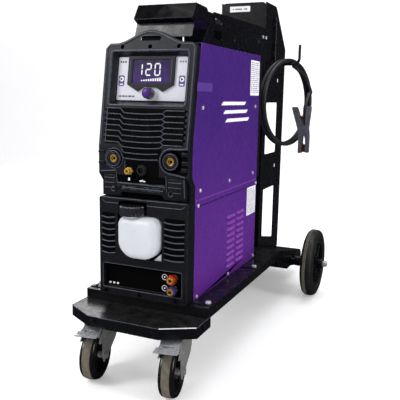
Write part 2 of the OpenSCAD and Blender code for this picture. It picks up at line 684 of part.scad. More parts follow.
// Top edge of the moulding: flat, with the carrying arch in the middle
function arch(x) = abs(x) > arch_hw ? 0 : arch_h * pow(cos(90 * x / arch_hw), 2);
function top_edge(inset) = [for (i = [-10:10]) let (x = i * arch_hw / 10) [x, source_top + arch(x) - inset]];

module front_outline(inset) {
    polygon(concat([[hw - inset, source_z + 0.5 + inset], [hw - inset, source_top - 12], [hw - 12, source_top - inset]],
        [for (p = top_edge(inset)) [-p[0], p[1]]],
        [[-hw + 12, source_top - inset], [-hw + inset, source_top - 12], [-hw + inset, source_z + 0.5 + inset]]));
}

// Moulding body between the face and d behind it
module moulding(front, back, inset, zt) {
    intersection() {
        along_x(-hw, case_w) polygon(concat(face_points(front, zt, source_z - 5),
            [for (i = [4:-1:0]) face_points(back, zt, source_z - 5)[i]]));
        along_y(-20, 160) front_outline(inset);
    }
}

grille_rows = 6;
module grille_slots() {
    for (i = [0:grille_rows - 1]) {
        z = 17 + i * 13.5;
        for (s = [-1, 1]) along_y(-10, 20) polygon([[s * 110, z], [s * 58, z], [s * 50, z + 5.5], [s * 110, z + 5.5]]);
        along_y(-10, 20) polygon([[-44, z], [44, z], [44, z + 5.5], [-44, z + 5.5]]);
    }
}

module source_front() {
    zt = source_top + arch_h + 1;
    color([0.06, 0.06, 0.07]) place() difference() {
        union() {
            difference() {
                moulding(0, moulding_d, 0, zt);
                moulding(sheet, moulding_d + 30, sheet, zt + 20);
            }
            on_face() translate([0, 0, 0]) difference() {
                along_y(1, panel_depth + 2) polygon(pill([-104, 98], [104, 229], 8));
                along_y(-5, panel_depth + 5) polygon(pill([-101, 101], [101, 226], 6));
            }
            both_sides() along_y(2, chin_y + 3) polygon(outline([[socket_x - 15, 497, 2], [socket_x, 483, 2],
                [socket_x + 15, 497, 2], [socket_x, 511, 2]]));
        }
        on_face() {
            along_y(-5, panel_depth + 5) polygon(pill([-101, 101], [101, 226], 6));
            grille_slots();
            along_y(-5, 60) polygon(pill([-27, 251], [27, 262], 5));
            for (x = [-75, 0, 75]) rod_y(x, -5, 237, 5.5, 40);
            along_y(5, 40) polygon(pill([-56, 146], [56, 216], 2));
            rod_y(0, 0, 129, 5, 40);
        }
        for (s = [-1, 1]) rod_y(s * socket_x, -5, socket_z, 15.2, 30);
        rod_y(gas_x, -5, gas_z, 6.6, 30);
        rod_y(0, -5, control_z, 10.2, 30);
        both_sides() rod_y(socket_x, -1, 497, 3.1, 40);
    }
}

module control_panel() {
    color([0.8, 0.81, 0.83]) place() on_face() difference() {
        along_y(panel_depth - 1.5, 1.5) polygon(pill([-92, 113], [92, 217], 3));
        along_y(0, 40) polygon(pill([-56, 146], [56, 216], 2));
        rod_y(0, 0, 129, 5, 40);
    }
}

module display_unit() {
    bezel = [[-62, 218], [62, 218], [62, 150], [33, 134], [16, 145], [-16, 145], [-33, 134], [-62, 150]];
    color([0.1, 0.05, 0.16]) place() on_face() {
        difference() {
            along_y(panel_depth - 7, 5.5) polygon(bezel);
            along_y(0, panel_depth - 4) polygon(pill([-50, 153], [50, 210], 2));
        }
        along_y(panel_depth - 2, 12) polygon(pill([-55, 147], [55, 215], 2));
    }
}

knob_z = 129;
module encoder_shaft() {
    color([0.7, 0.7, 0.72]) place() on_face() {
        rod_y(0, panel_depth - 16, knob_z, 3, 34);
    }
}
module knob() {
    color([0.36, 0.16, 0.56]) place() on_face() difference() {
        union() {
            rod_y(0, -2, knob_z, 13.5, panel_depth - 2);
            rod_y(0, -4, knob_z, 11, 3);
        }
        rod_y(0, panel_depth - 16 - 0.5, knob_z, 3 + running_gap, 30);
        rod_y(0, panel_depth - 8, knob_z, 11, 30);
    }
}

module source_cover() {
    front = face_points(moulding_d, source_top, source_z);
    side = concat(front, [[case_d, source_top], [case_d, source_z]]);
    color([0.36, 0.16, 0.56]) place() difference() {
        cover_shell(side, 10, source_top);
        both_sides() for (p = source_screws) rod_x(cover_hw - 5, p[0], p[1], cover_screw_r + 0.2, 10);
    }
}

module source_base() {
    color([0.1, 0.1, 0.11]) place() difference() {
        union() {
            block([-119.5, 45, source_z], [119.5, case_d - 3, source_z + 2]);
            both_sides() block([cover_hw - skin - 2, 45, source_z], [cover_hw - skin, case_d - 3, source_z + 30]);
        }
        both_sides() for (p = source_screws) rod_x(cover_hw - 8, p[0], p[1], cover_screw_r + 0.1, 10);
    }
}

switch_x = 62;
switch_z = 790;
gas_in_x = -98;
module source_rear() {
    depth = 24;
    color([0.06, 0.06, 0.07]) place() difference() {
        union() {
            difference() {
                along_y(case_d, depth) polygon(pill([-hw, source_z + 0.5], [hw, source_top - 1], 8));
                along_y(case_d - 1, depth - sheet + 1) polygon(pill([-hw + sheet, source_z + 4], [hw - sheet, source_top - 4], 5));
            }
        }
        for (i = [-5:5]) block([-50, case_d - 1, source_fan_z + i * 9 - 2.5], [50, case_d + depth + 1, source_fan_z + i * 9 + 2.5]);
        rod_y(switch_x, case_d, switch_z, 8.1, 60);
        rod_y(-62, case_d, switch_z, 9.1, 60);
        rod_y(gas_in_x, case_d, 520, 6.6, 60);
    }
}

module mains_switch() {
    color([0.7, 0.08, 0.06]) place() {
        rod_y(switch_x, case_d + 2, switch_z, 8, 24);
        rod_y(switch_x, case_d + 24.5, switch_z, 19, 6);
        block([switch_x - 5, case_d + 28, switch_z - 18], [switch_x + 5, case_d + 42, switch_z + 18]);
    }
}

module fan_frames() {
    color([0.1, 0.1, 0.1]) place() for (z = [source_fan_z, cooler_fan_z]) translate([0, fan_y, z]) {
        difference() {
            block([-60, 0, -60], [60, 25, 60]);
            rod_y(0, -1, 0, fan_r, 27);
        }
        rod_y(0, 20, 0, 22, 5);
        for (a = [0, 90]) rotate([0, a + 45, 0]) block([-59, 21, -3], [59, 25, 3]);
        rod_y(0, 4, 0, 4, 17);
    }
}
module fan_rotor(z) {
    place() translate([0, fan_y, z]) difference() {
        union() {
            rod_y(0, 2, 0, 21, 16);
            for (i = [0:6]) rotate([0, i * 360 / 7, 0]) translate([0, 10, 0]) rotate([0, 0, 35]) block([-1.2, -9, 18], [1.2, 9, 54]);
        }
        rod_y(0, 3.9, 0, 4 + running_gap, 20);
    }
}
module source_fan() { color([0.15, 0.15, 0.16]) fan_rotor(source_fan_z); }
module cooler_fan() { color([0.15, 0.15, 0.16]) fan_rotor(cooler_fan_z); }

module heatsink() {
    color([0.75, 0.76, 0.78]) place() difference() {
        block([-60, 200, 520], [60, 440, 600]);
        for (i = [0:9]) block([-55 + i * 11.6, 199, 535], [-50 + i * 11.6, 441, 601]);
    }
}
module transformer() {
    color([0.5, 0.3, 0.16]) place() {
        block([-45, 90, 500], [45, 180, 590]);
        block([-60, 110, 520], [60, 160, 570]);
        block([-70, 84, source_z + 2], [70, 186, 500]);
    }
}
module main_board() {
    color([0.08, 0.35, 0.18]) place() {
        block([-105, 120, 650], [105, 420, 652]);
        for (x = [-70, -20, 30, 80]) translate([x, 200, 652]) cylinder(r = 16, h = 45);
        block([-80, 300, 652], [60, 380, 680]);
    }
}

module dinse_insulators() {
    color([0.05, 0.05, 0.05]) place() for (s = [-1, 1]) difference() {
        union() {
            rod_y(s * socket_x, -6, socket_z, 20, 6);
            rod_y(s * socket_x, -1, socket_z, 15, 26);
            rod_y(s * socket_x, -8, socket_z, 14, 3);
        }
        rod_y(s * socket_x, -10, socket_z, 10.1, 60);
    }
}
module dinse_contacts() {
    color([0.82, 0.64, 0.3]) place() for (s = [-1, 1]) difference() {
        union() {
            rod_y(s * socket_x, -5, socket_z, 10, 55);
            rod_y(s * socket_x, 26, socket_z, 13, 5);
        }
        rod_y(s * socket_x, -6, socket_z, socket_bore_r, 31);
    }
}
module gas_fittings() {
    color([0.82, 0.64, 0.3]) place() {
        difference() {
            union() {
                rod_y(gas_x, -2, gas_z, 6.4, 24);
                translate([gas_x, -8, gas_z]) rotate([-90, 0, 0]) cylinder(r = 9.5, h = 8, $fn = 6);
                rod_y(gas_x, -17, gas_z, 7, 9.5);
            }
            rod_y(gas_x, -18, gas_z, 3, 50);
        }
        difference() {
            union() {
                rod_y(gas_in_x, case_d + 10, 520, 6.4, 20);
                translate([gas_in_x, case_d + 24, 520]) rotate([-90, 0, 0]) cylinder(r = 9.5, h = 7, $fn = 6);
                rod_y(gas_in_x, case_d + 31, 520, 4.5, 22);
            }
            rod_y(gas_in_x, case_d, 520, 2, 60);
        }
    }
}
module control_socket() {
    color([0.1, 0.1, 0.1]) place() difference() {
        union() {
            rod_y(0, -4, control_z, 13, 4);
            rod_y(0, -9, control_z, 10, 9);
            rod_y(0, -1, control_z, 10, 22);
        }
        rod_y(0, -10, control_z, 8, 8);
        for (i = [0:4]) rod_y(5 * cos(i * 72), -3, control_z + 5 * sin(i * 72), 0.8, 6);
    }
}

module panel_screws() {
    color([0.82, 0.83, 0.85]) place() {
        both_sides() for (p = concat(cooler_screws, source_screws)) translate([cover_hw, p[0], p[1]]) rotate([0, 90, 0])
            bolt(4.6, 2.6, cover_screw_r, 7);
        for (p = front_screw) translate([p[0], 0, p[1]]) rotate([90, 0, 0]) bolt(3.6, 2, cover_screw_r, 6);
        both_sides() translate([socket_x, 2, 497]) rotate([90, 0, 0]) bolt(5.5, 3, 3, 14);
    }
}

module mains_cable() {
    color([0.05, 0.05, 0.05]) place() {
        rod_y(-62, case_d + 5, switch_z, 8.9, 30);
        rod_y(-62, case_d + 24.5, switch_z, 13, 12);
        rod_y(-62, case_d + 30, switch_z, 6.5, 36);
        translate([-62, case_d + 66, switch_z - 20]) rotate([0, 90, 0]) rotate([0, 0, 90]) rotate_extrude(angle = 90)
            translate([20, 0]) circle(r = 6.5);
        translate([-62, case_d + 86, switch_z - 90]) cylinder(r = 6.5, h = 70);
    }
}

base_pan();
tray();
rear_frame();
mast();
torch_shelf();
cable_hook();
rear_axle();
axle_nuts();
cart_bolts();
caster_plates();
caster_fork_left();
caster_fork_right();
caster_wheel_left();
caster_wheel_right();
brake_pedal_left();
brake_pedal_right();
rear_rim_left();
rear_rim_right();
rear_tyre_left();
rear_tyre_right();
earth_cable();
clamp_fixed_arm();
clamp_moving_arm();
clamp_pin();
clamp_spring();
clamp_contact_fixed();
clamp_contact_moving();
cooler_front();
cooler_cover();
cooler_base();
cooler_rear();
coolant_tank();
tank_cap();
cap_seal();
radiator();
cooler_fan();
pump();
coupling_bodies();
red_sleeve();
blue_sleeve();
source_front();
control_panel();
display_unit();
encoder_shaft();
knob();
source_cover();
source_base();
source_rear();
mains_switch();
fan_frames();
source_fan();
heatsink();
transformer();
main_board();
dinse_insulators();
dinse_contacts();
gas_fittings();
control_socket();
panel_screws();
mains_cable();
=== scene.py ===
"""TIG welding set on its cart: the visual model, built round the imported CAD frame.

Shapes are worked out in millimetres, with y = 0 on the cooler's front face and the floor at z = FLOOR_Z,
and WORK carries them into the row frame in metres.
"""

import json
import math
import random

import bmesh
import bpy
from mathutils import Matrix, Vector


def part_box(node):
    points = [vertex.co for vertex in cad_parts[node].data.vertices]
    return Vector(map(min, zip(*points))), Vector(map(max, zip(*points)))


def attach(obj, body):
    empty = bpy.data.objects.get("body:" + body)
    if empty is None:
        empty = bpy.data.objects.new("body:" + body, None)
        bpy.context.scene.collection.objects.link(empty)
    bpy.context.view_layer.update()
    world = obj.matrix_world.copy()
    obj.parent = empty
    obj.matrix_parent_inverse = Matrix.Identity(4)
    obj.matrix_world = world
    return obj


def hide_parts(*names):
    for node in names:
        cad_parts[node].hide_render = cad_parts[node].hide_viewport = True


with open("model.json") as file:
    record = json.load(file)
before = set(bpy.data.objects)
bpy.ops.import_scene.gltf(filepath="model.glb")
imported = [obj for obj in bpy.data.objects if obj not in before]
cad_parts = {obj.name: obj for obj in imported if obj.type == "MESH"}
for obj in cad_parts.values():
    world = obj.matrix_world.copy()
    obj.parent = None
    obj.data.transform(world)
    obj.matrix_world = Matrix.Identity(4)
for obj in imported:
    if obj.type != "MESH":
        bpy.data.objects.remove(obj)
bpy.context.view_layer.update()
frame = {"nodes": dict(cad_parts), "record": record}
BODIES = frame["record"]["behaviour"]["bodies"]
NODE_BODY = {node: body for body, nodes in BODIES.items() for node in nodes}

# -------- frame and driving sizes
FLOOR_Z = 26  # height of the floor in working millimetres
FRONT_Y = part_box("cooler_front")[0].y
WORK = Matrix.Translation((0, FRONT_Y, -FLOOR_Z / 1000)) @ Matrix.Scale(0.001, 4)


def work_box(node):
    """Lowest and highest corner of a CAD node in working millimetres."""
    return [WORK.inverted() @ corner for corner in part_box(node)]


HW = work_box("cooler_front")[1].x  # half width of the black mouldings
COVER_HW = work_box("source_cover")[1].x  # half width of the sheet covers
SOURCE_Z = work_box("source_cover")[0].z
SOURCE_TOP = work_box("source_cover")[1].z
CASE_D = work_box("source_cover")[1].y  # how far back the covers reach
TILT = math.radians(9)  # lean of the control face
FACE_Z = 600  # where the face starts to lean
SOCKET_X, SOCKET_Z = 76.5, 571  # centres of the two welding sockets
PAN_TOP = 201  # upper face of the cart's base pan
FACE = Matrix.Translation((0, 0, FACE_Z)) @ Matrix.Rotation(-TILT, 4, "X")


def axis_frame(origin, z_axis, x_hint=(1, 0, 0)):
    """Matrix whose z axis runs along z_axis and whose x axis is as near x_hint as it can be."""
    z = Vector(z_axis).normalized()
    y = z.cross(Vector(x_hint)).normalized()
    x = y.cross(z)
    turn = Matrix((x, y, z)).transposed().to_4x4()
    return Matrix.Translation(origin) @ turn


def front_frame(x, z, y=0):
    """Plan x to the right, plan y up and height towards the viewer, on the plane at y."""
    return axis_frame((x, y, z), (0, -1, 0))


FACE_FRONT = FACE @ front_frame(0, 0)  # plan on the leaning face, x across and y up it
RIGHT_SIDE = axis_frame((COVER_HW, 0, 0), (1, 0, 0), (0, 1, 0))


# -------- outlines
def circle(r, n=32, centre=(0, 0)):
    x, y = centre
    return [(x + r * math.cos(i * math.tau / n), y + r * math.sin(i * math.tau / n)) for i in range(n)]


def rounded(entries, n=5):
    """Closed outline from (x, y, corner radius) entries."""
    points = []
    for i, (x, y, r) in enumerate(entries):
        here = Vector((x, y))
        back = (Vector(entries[i - 1][:2]) - here).normalized()
        on = (Vector(entries[(i + 1) % len(entries)][:2]) - here).normalized()
        if r <= 0:
            points.append((x, y))
            continue
        half = back.angle(on) / 2
        centre = here + (back + on).normalized() * (r / math.sin(half))
        start, end = here + back * (r / math.tan(half)) - centre, here + on * (r / math.tan(half)) - centre
        first = math.atan2(start.y, start.x)
        turn = (math.atan2(end.y, end.x) - first + 3 * math.pi) % math.tau - math.pi
        for k in range(n + 1):
            angle = first + turn * k / n
            points.append((centre.x + r * math.cos(angle), centre.y + r * math.sin(angle)))
    return points


def box_outline(x0, y0, x1, y1, r, n=5):
    return rounded([(x0, y0, r), (x1, y0, r), (x1, y1, r), (x0, y1, r)], n)


def inset(loop, d):
    """Closed anticlockwise outline moved inwards by d, corner by corner."""
    moved = []
    for i, point in enumerate(loop):
        here = Vector(point)
        a = (here - Vector(loop[i - 1])).normalized()
        b = (Vector(loop[(i + 1) % len(loop)]) - here).normalized()
        normal = (Vector((-a.y, a.x)) + Vector((-b.y, b.x))).normalized()
        reach = d / max(0.35, normal.dot(Vector((-b.y, b.x))))
        moved.append(tuple(here + normal * reach))
    return moved


def arc(cx, cy, r, a0, a1, n=24):
    """Open arc between two angles in degrees."""
    angles = [math.radians(a0 + (a1 - a0) * i / n) for i in range(n + 1)]
    return [(cx + r * math.cos(a), cy + r * math.sin(a)) for a in angles]


def fluted(r, depth, flutes, n):
    """Round outline whose radius waves by depth."""
    loop = []
    for i in range(n):
        a = math.tau * i / n
        reach = r + depth * math.cos(flutes * a)
        loop.append((reach * math.cos(a), reach * math.sin(a)))
    return loop


def closed(loop):
    return loop + loop[:1]


# -------- mesh building
def loft(bm, rings, matrix=Matrix(), loop=False, caps=True):
    """Skin between rings of equal length. loop joins the last ring to the first."""
    rows = [[bm.verts.new(matrix @ Vector(p)) for p in ring] for ring in rings]
    count = len(rows[0])
    for a, b in zip(rows, rows[1:] + ([rows[0]] if loop else [])):
        for i in range(count):
            j = (i + 1) % count
            bm.faces.new((a[i], a[j], b[j], b[i]))
    if caps and not loop:
        bm.faces.new(list(reversed(rows[0])))
        bm.faces.new(rows[-1])


def prism(bm, loop, z0, z1, matrix=Matrix(), round_top=0.0, round_bottom=0.0, steps=3):
    """Solid over an outline, with rounded upper and lower rims."""
    rings = []
    for k in range(steps + 1 if round_bottom else 0):
        a = math.pi / 2 * k / steps
        rings.append((round_bottom * (1 - math.sin(a)), z0 + round_bottom * (1 - math.cos(a))))
    if not round_bottom:
        rings.append((0, z0))
    if not round_top:
        rings.append((0, z1))
    for k in range(steps + 1 if round_top else 0):
        a = math.pi / 2 * k / steps
        rings.append((round_top * (1 - math.cos(a)), z1 - round_top * (1 - math.sin(a))))
    loft(bm, [[(x, y, z) for x, y in (inset(loop, d) if d else loop)] for d, z in rings], matrix)


def lathe(bm, profile, matrix=Matrix(), n=64, loop=False):
    """Solid of revolution about z from (radius, height) points. Radius 0 at an end closes it in a point."""
    rows = []
    for r, h in profile:
        if r < 1e-6:
            rows.append([bm.verts.new(matrix @ Vector((0, 0, h)))])
        else:
            rows.append([bm.verts.new(matrix @ Vector((x, y, h))) for x, y in circle(r, n)])
    for a, b in zip(rows, rows[1:] + ([rows[0]] if loop else [])):
        for i in range(n):
            j = (i + 1) % n
            corner = [a[i % len(a)], a[j % len(a)], b[j % len(b)], b[i % len(b)]]
            corner = [v for k, v in enumerate(corner) if v not in corner[:k]]
            if len(corner) > 2:
                bm.faces.new(corner)
    if not loop:
        for row, flip in ((rows[0], True), (rows[-1], False)):
            if len(row) > 1:
                bm.faces.new(list(reversed(row)) if flip else row)


def tube(bm, path, r, n=16, closed=False, section=None):
    """Round bar, or a given 2D section, swept along a path of points."""
    points = [Vector(p) for p in path]
    count = len(points)
    tangents = []
    for i in range(count):
        a = points[i - 1] if closed or i else points[0]
        b = points[(i + 1) % count] if closed or i < count - 1 else points[-1]
        tangents.append((b - a).normalized())
    normal = tangents[0].orthogonal().normalized()
    if abs(tangents[0].z) < 0.9:
        normal = (Vector((0, 0, 1)) - tangents[0] * tangents[0].z).normalized()
    rings = []
    shape = section or circle(r, n)
    for point, tangent in zip(points, tangents):
        normal = (normal - tangent * normal.dot(tangent)).normalized()
        side = tangent.cross(normal)
        rings.append([point + normal * x + side * y for x, y in shape])
    loft(bm, rings, loop=closed)


def merge(bm, part):
    """Adds one bmesh to another and frees it."""
    copies = {v: bm.verts.new(v.co) for v in part.verts}
    for face in part.faces:
        bm.faces.new([copies[v] for v in face.verts])
    part.free()


def block(bm, low, high, matrix=Matrix(), bevel=0.8, segments=2):
    """Box between two corners with rounded edges."""
    part = bmesh.new()
    bmesh.ops.create_cube(part, size=1)
    size = Vector(high) - Vector(low)
    for v in part.verts:
        v.co = Vector(low) + Vector((size[k] * (v.co[k] + 0.5) for k in range(3)))
    if bevel:
        bmesh.ops.bevel(part, geom=part.edges[:], offset=bevel, segments=segments, profile=0.5,
                        affect="EDGES")
    part.transform(matrix)
    merge(bm, part)


def piece(name, bm, material, like, slot, replaces=(), sharp=38):
    """Makes an object of a working-frame bmesh. It rides with the CAD node it is like."""
    bmesh.ops.recalc_face_normals(bm, faces=bm.faces)
    bm.transform(WORK)
    mesh = bpy.data.meshes.new(name)
    bm.to_mesh(mesh)
    bm.free()
    mesh.materials.append(material)
    mesh.shade_smooth()
    mesh.set_sharp_from_angle(angle=math.radians(sharp))
    obj = bpy.data.objects.new(name, mesh)
    bpy.context.scene.collection.objects.link(obj)
    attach(obj, NODE_BODY[like])
    if replaces:
        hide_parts(*replaces)
    return obj


def softened(node, material, slot, width=0.8, segments=2):
    """The CAD node's own shape with its sharp edges rounded, as a piece that stands for the node."""
    bm = bmesh.new()
    bm.from_mesh(frame["nodes"][node].data)
    bm.transform(WORK.inverted())
    bmesh.ops.remove_doubles(bm, verts=bm.verts, dist=1e-3)
    bmesh.ops.dissolve_limit(bm, angle_limit=math.radians(0.5), verts=bm.verts, edges=bm.edges)
    edges = [e for e in bm.edges if len(e.link_faces) == 2 and e.calc_face_angle(0) > math.radians(32)]
    bmesh.ops.bevel(bm, geom=edges, offset=width, segments=segments, profile=0.5, affect="EDGES",
                    clamp_overlap=False, loop_slide=True)
    obj = piece(node + "_body", bm, material, node, slot, replaces=[node])
    flatten = obj.modifiers.new("flat_faces", "WEIGHTED_NORMAL")
    flatten.keep_sharp = True
    return obj


# -------- materials
class Shader:
    """The node tree of a material or world, built one call at a time."""

    def __init__(self, owner, surface="Principled BSDF"):
        owner.use_nodes = True
        self.owner, self.tree = owner, owner.node_tree
        self.surface = self.tree.nodes[surface]
        self.coordinates = self.add("ShaderNodeTexCoord").outputs

    def add(self, kind, **values):
        node = self.tree.nodes.new(kind)
        for key, value in values.items():
            if hasattr(node, key):
                setattr(node, key, value)
            else:
                self.feed(node.inputs[key.replace("_", " ")], value)
        return node

    def feed(self, socket, value):
        if isinstance(value, bpy.types.NodeSocket):
            self.tree.links.new(value, socket)
        else:
            socket.default_value = value

    def noise(self, scale, detail=3.0, stretch=(1, 1, 1)):
        place = self.add("ShaderNodeVectorMath", operation="MULTIPLY")
        self.feed(place.inputs[0], self.coordinates["Object"])
        self.feed(place.inputs[1], stretch)
        texture = self.add("ShaderNodeTexNoise", Vector=place.outputs[0], Scale=scale, Detail=detail)
        return texture.outputs["Fac"]

    def spread(self, value, low, high, out_low, out_high):
        node = self.add("ShaderNodeMapRange", Value=value)
        for index, number in zip((1, 2, 3, 4), (low, high, out_low, out_high)):
            self.feed(node.inputs[index], number)
        return node.outputs[0]

    def math(self, operation, a, b=0.0):
        node = self.add("ShaderNodeMath", operation=operation)
        self.feed(node.inputs[0], a)
        self.feed(node.inputs[1], b)
        return node.outputs[0]

    def mix(self, factor, a, b):
        node = self.add("ShaderNodeMix", data_type="RGBA")
        self.feed(node.inputs[0], factor)
        self.feed(node.inputs[6], a)
        self.feed(node.inputs[7], b)
        return node.outputs[2]

    def blend(self, factor, a, b):
        """Mix of two numbers."""
        node = self.add("ShaderNodeMix")
        for index, value in ((0, factor), (2, a), (3, b)):
            self.feed(node.inputs[index], value)
        return node.outputs[0]

    def paint(self, **values):
        """Feeds inputs of the surface. An underscore stands for a space in an input's name."""
        for key, value in values.items():
            self.feed(self.surface.inputs[key.replace("_", " ")], value)

    def relief(self, depth, scale, stretch=(1, 1, 1)):
        """Fine bumps of the given depth in metres."""
        height = self.noise(scale, 2, stretch)
        bump = self.add("ShaderNodeBump", Strength=1.0, Distance=depth, Height=height)
        self.paint(Normal=bump.outputs[0])

    def edge(self, radius):
        """0 on open faces, rising to 1 on edges."""
        rounded_normal = self.add("ShaderNodeBevel", samples=4, Radius=radius).outputs[0]
        normal = self.add("ShaderNodeNewGeometry").outputs["Normal"]
        node = self.add("ShaderNodeVectorMath", operation="DOT_PRODUCT")
        self.feed(node.inputs[0], rounded_normal)
        self.feed(node.inputs[1], normal)
        return self.spread(self.math("SUBTRACT", 1.0, node.outputs["Value"]), 0.01, 0.12, 0.0, 1.0)


def rgb(r, g, b):
    """Linear colour from an sRGB triple out of 255."""
    def linear(c):
        c /= 255
        return c / 12.92 if c <= 0.04045 else ((c + 0.055) / 1.055) ** 2.4
    return (linear(r), linear(g), linear(b), 1)


def scaled(colour, k):
    return tuple(min(1, c * k) for c in colour[:3]) + (1,)


DUST = rgb(150, 145, 135)


def finish(name, colour, rough, metal=0.0, vary=0.25, patch=12, grain=0.0, grain_scale=1500,
           stretch=(1, 1, 1), edge_wear_and_highlight=None, wear_and_highlight_share=0.6, wear_and_highlight_radius=0.0012, coat=0.0, dust=0.0, shine=0.5):
    """Paint, plastic, rubber or metal with uneven colour and sheen, surface grain, and a lighter edge colour
    that is partly wear and partly painted highlight.
    """
    s = Shader(bpy.data.materials.new(name))
    patches = s.noise(patch, 4, stretch)
    colour_out = s.mix(s.spread(patches, 0.3, 0.7, 0, 1), scaled(colour, 1 - vary), scaled(colour, 1 + vary))
    sheen = s.noise(patch * 4, 5, stretch)
    rough_out = s.spread(sheen, 0.3, 0.7, max(0.03, rough * 0.75), min(1, rough * 1.25))
    if dust:
        normal = s.add("ShaderNodeNewGeometry").outputs["Normal"]
        up = s.add("ShaderNodeSeparateXYZ", Vector=normal).outputs["Z"]
        settled = s.spread(up, 0.3, 1.0, 0, dust)
        film = s.math("MULTIPLY", settled, s.spread(s.noise(40, 6), 0.35, 0.75, 0, 1))
        colour_out = s.mix(film, colour_out, DUST)
    # Edge colour: real wear, and on the black and metal finishes a painted highlight along the edges.
    if edge_wear_and_highlight:
        worn_and_lit = s.math("MULTIPLY", s.edge(wear_and_highlight_radius), s.spread(s.noise(90, 5), 0.42, 0.62, 0, wear_and_highlight_share))
        colour_out = s.mix(worn_and_lit, colour_out, edge_wear_and_highlight)
        rough_out = s.math("ADD", rough_out, s.math("MULTIPLY", worn_and_lit, -0.12))
    s.paint(Base_Color=colour_out, Roughness=rough_out, Metallic=metal, Specular_IOR_Level=shine,
            Coat_Weight=coat, Coat_Roughness=0.12)
    if grain:
        s.relief(grain, grain_scale, stretch)
    return s.owner


def ink(name, colour, vary=0.1):
    """Thin print on a panel or label."""
    return finish(name, colour, 0.4, vary=vary, patch=200, grain=0.00001)


# The lighter edge colours of these finishes stand partly for wear and partly for painted highlights.
moulding_black = finish("moulding_black", rgb(20, 21, 26), 0.38, vary=0.08, grain=0.00008, grain_scale=2600,
                        edge_wear_and_highlight=rgb(120, 122, 132), wear_and_highlight_share=0.6, dust=0.02, shine=0.26)
# Lighter grey for the raised lines on the black mouldings: a painted highlight colour.
highlight_grey = finish("highlight_grey", rgb(62, 65, 78), 0.30, vary=0.1, patch=40, grain=0.00005, grain_scale=2600,
                  edge_wear_and_highlight=rgb(120, 122, 138), wear_and_highlight_share=0.6, wear_and_highlight_radius=0.0006, shine=0.4)
cap_gloss = finish("cap_gloss", rgb(34, 34, 39), 0.2, vary=0.1, patch=60, grain=0.00002,
                   edge_wear_and_highlight=rgb(150, 152, 162), wear_and_highlight_share=0.8, wear_and_highlight_radius=0.0007, shine=1.0, coat=0.5)
# Near black for black parts, and as painted shade in openings, recesses and gaps.
shade_and_deep_black = finish("shade_and_deep_black", rgb(4, 4, 5), 0.7, grain=0.00005, grain_scale=1800, shine=0.06)
cart_black = finish("cart_black", rgb(10, 11, 15), 0.28, vary=0.08, grain=0.00002, grain_scale=900,
                    edge_wear_and_highlight=rgb(90, 93, 105), wear_and_highlight_share=0.6, wear_and_highlight_radius=0.0007, dust=0.05, shine=0.35)
# Painted highlights: a dim lighter grey for the cart's edges and a bright glint colour.
cart_edge_highlight = finish("cart_edge_highlight", rgb(70, 73, 86), 0.25, vary=0.15, patch=30, grain=0.00001,
                   edge_wear_and_highlight=rgb(150, 152, 165), wear_and_highlight_radius=0.0004)
cart_glint = finish("cart_glint", rgb(225, 226, 236), 0.25, vary=0.1, patch=30, grain=0.00001,
                    edge_wear_and_highlight=rgb(250, 250, 255), wear_and_highlight_radius=0.0004)
zinc = finish("zinc", rgb(205, 207, 216), 0.26, metal=0.6, vary=0.12, patch=30, grain=0.00001,
              grain_scale=900, edge_wear_and_highlight=rgb(240, 241, 246), wear_and_highlight_radius=0.0004)
dull_zinc = finish("dull_zinc", rgb(150, 150, 146), 0.40, metal=0.45, vary=0.18, patch=60, grain=0.00004,
                   grain_scale=700, edge_wear_and_highlight=rgb(215, 215, 212), wear_and_highlight_radius=0.0004)
clamp_steel = finish("clamp_steel", rgb(122, 125, 136), 0.32, metal=0.6, vary=0.16, patch=40, grain=0.00001,
                     edge_wear_and_highlight=rgb(220, 222, 228), wear_and_highlight_radius=0.0004)
steel_bar = finish("steel_bar", rgb(180, 182, 188), 0.22, metal=1.0, patch=40, stretch=(0.1, 1, 1),
                   grain=0.00002)
hook_black = finish("hook_black", rgb(40, 41, 46), 0.28, metal=0.6, patch=50)
brass = finish("brass", rgb(234, 184, 84), 0.26, metal=0.7, vary=0.25, patch=160, grain=0.00002,
               edge_wear_and_highlight=rgb(250, 222, 150))
red_anodised = finish("red_anodised", rgb(196, 52, 30), 0.30, metal=0.55, patch=150,
                      edge_wear_and_highlight=rgb(240, 140, 110))
blue_anodised = finish("blue_anodised", rgb(76, 64, 150), 0.30, metal=0.55, patch=150,
                       edge_wear_and_highlight=rgb(150, 140, 220))
rubber_black = finish("rubber_black", rgb(24, 24, 25), 0.55, vary=0.25, patch=60, grain=0.0002,
                      grain_scale=900, edge_wear_and_highlight=rgb(96, 92, 84), wear_and_highlight_share=0.5, dust=0.25)
wheel_plastic = finish("wheel_plastic", rgb(15, 15, 16), 0.24, patch=30, grain=0.00004,
                       edge_wear_and_highlight=rgb(80, 80, 84))
# Lighter violet for the hoods and the fold of the covers: a painted highlight colour.
violet_highlight = finish("violet_highlight", rgb(132, 62, 172), 0.28, vary=0.08, patch=60, grain=0.00003,
                     edge_wear_and_highlight=rgb(200, 130, 210))
print_grey = ink("print_grey", rgb(120, 122, 134))
tread_tan = finish("tread_tan", rgb(98, 93, 80), 0.72, vary=0.3, patch=90, grain=0.0004, grain_scale=1200,
                   edge_wear_and_highlight=rgb(60, 56, 50))
cable_black = finish("cable_black", rgb(33, 34, 40), 0.40, patch=50, grain=0.0001, grain_scale=1200,
                     edge_wear_and_highlight=rgb(70, 72, 82))
white_plastic = finish("white_plastic", rgb(208, 210, 217), 0.36, vary=0.05, patch=18, grain=0.0001,
                       grain_scale=500)
panel_grey = finish("panel_grey", rgb(214, 214, 224), 0.38, vary=0.04, patch=14, grain=0.00003,
                    grain_scale=2000, edge_wear_and_highlight=rgb(245, 245, 250))
print_violet = ink("print_violet", rgb(84, 52, 140))
print_white = ink("print_white", rgb(240, 240, 244), 0.04)
print_black = ink("print_black", rgb(24, 24, 28))
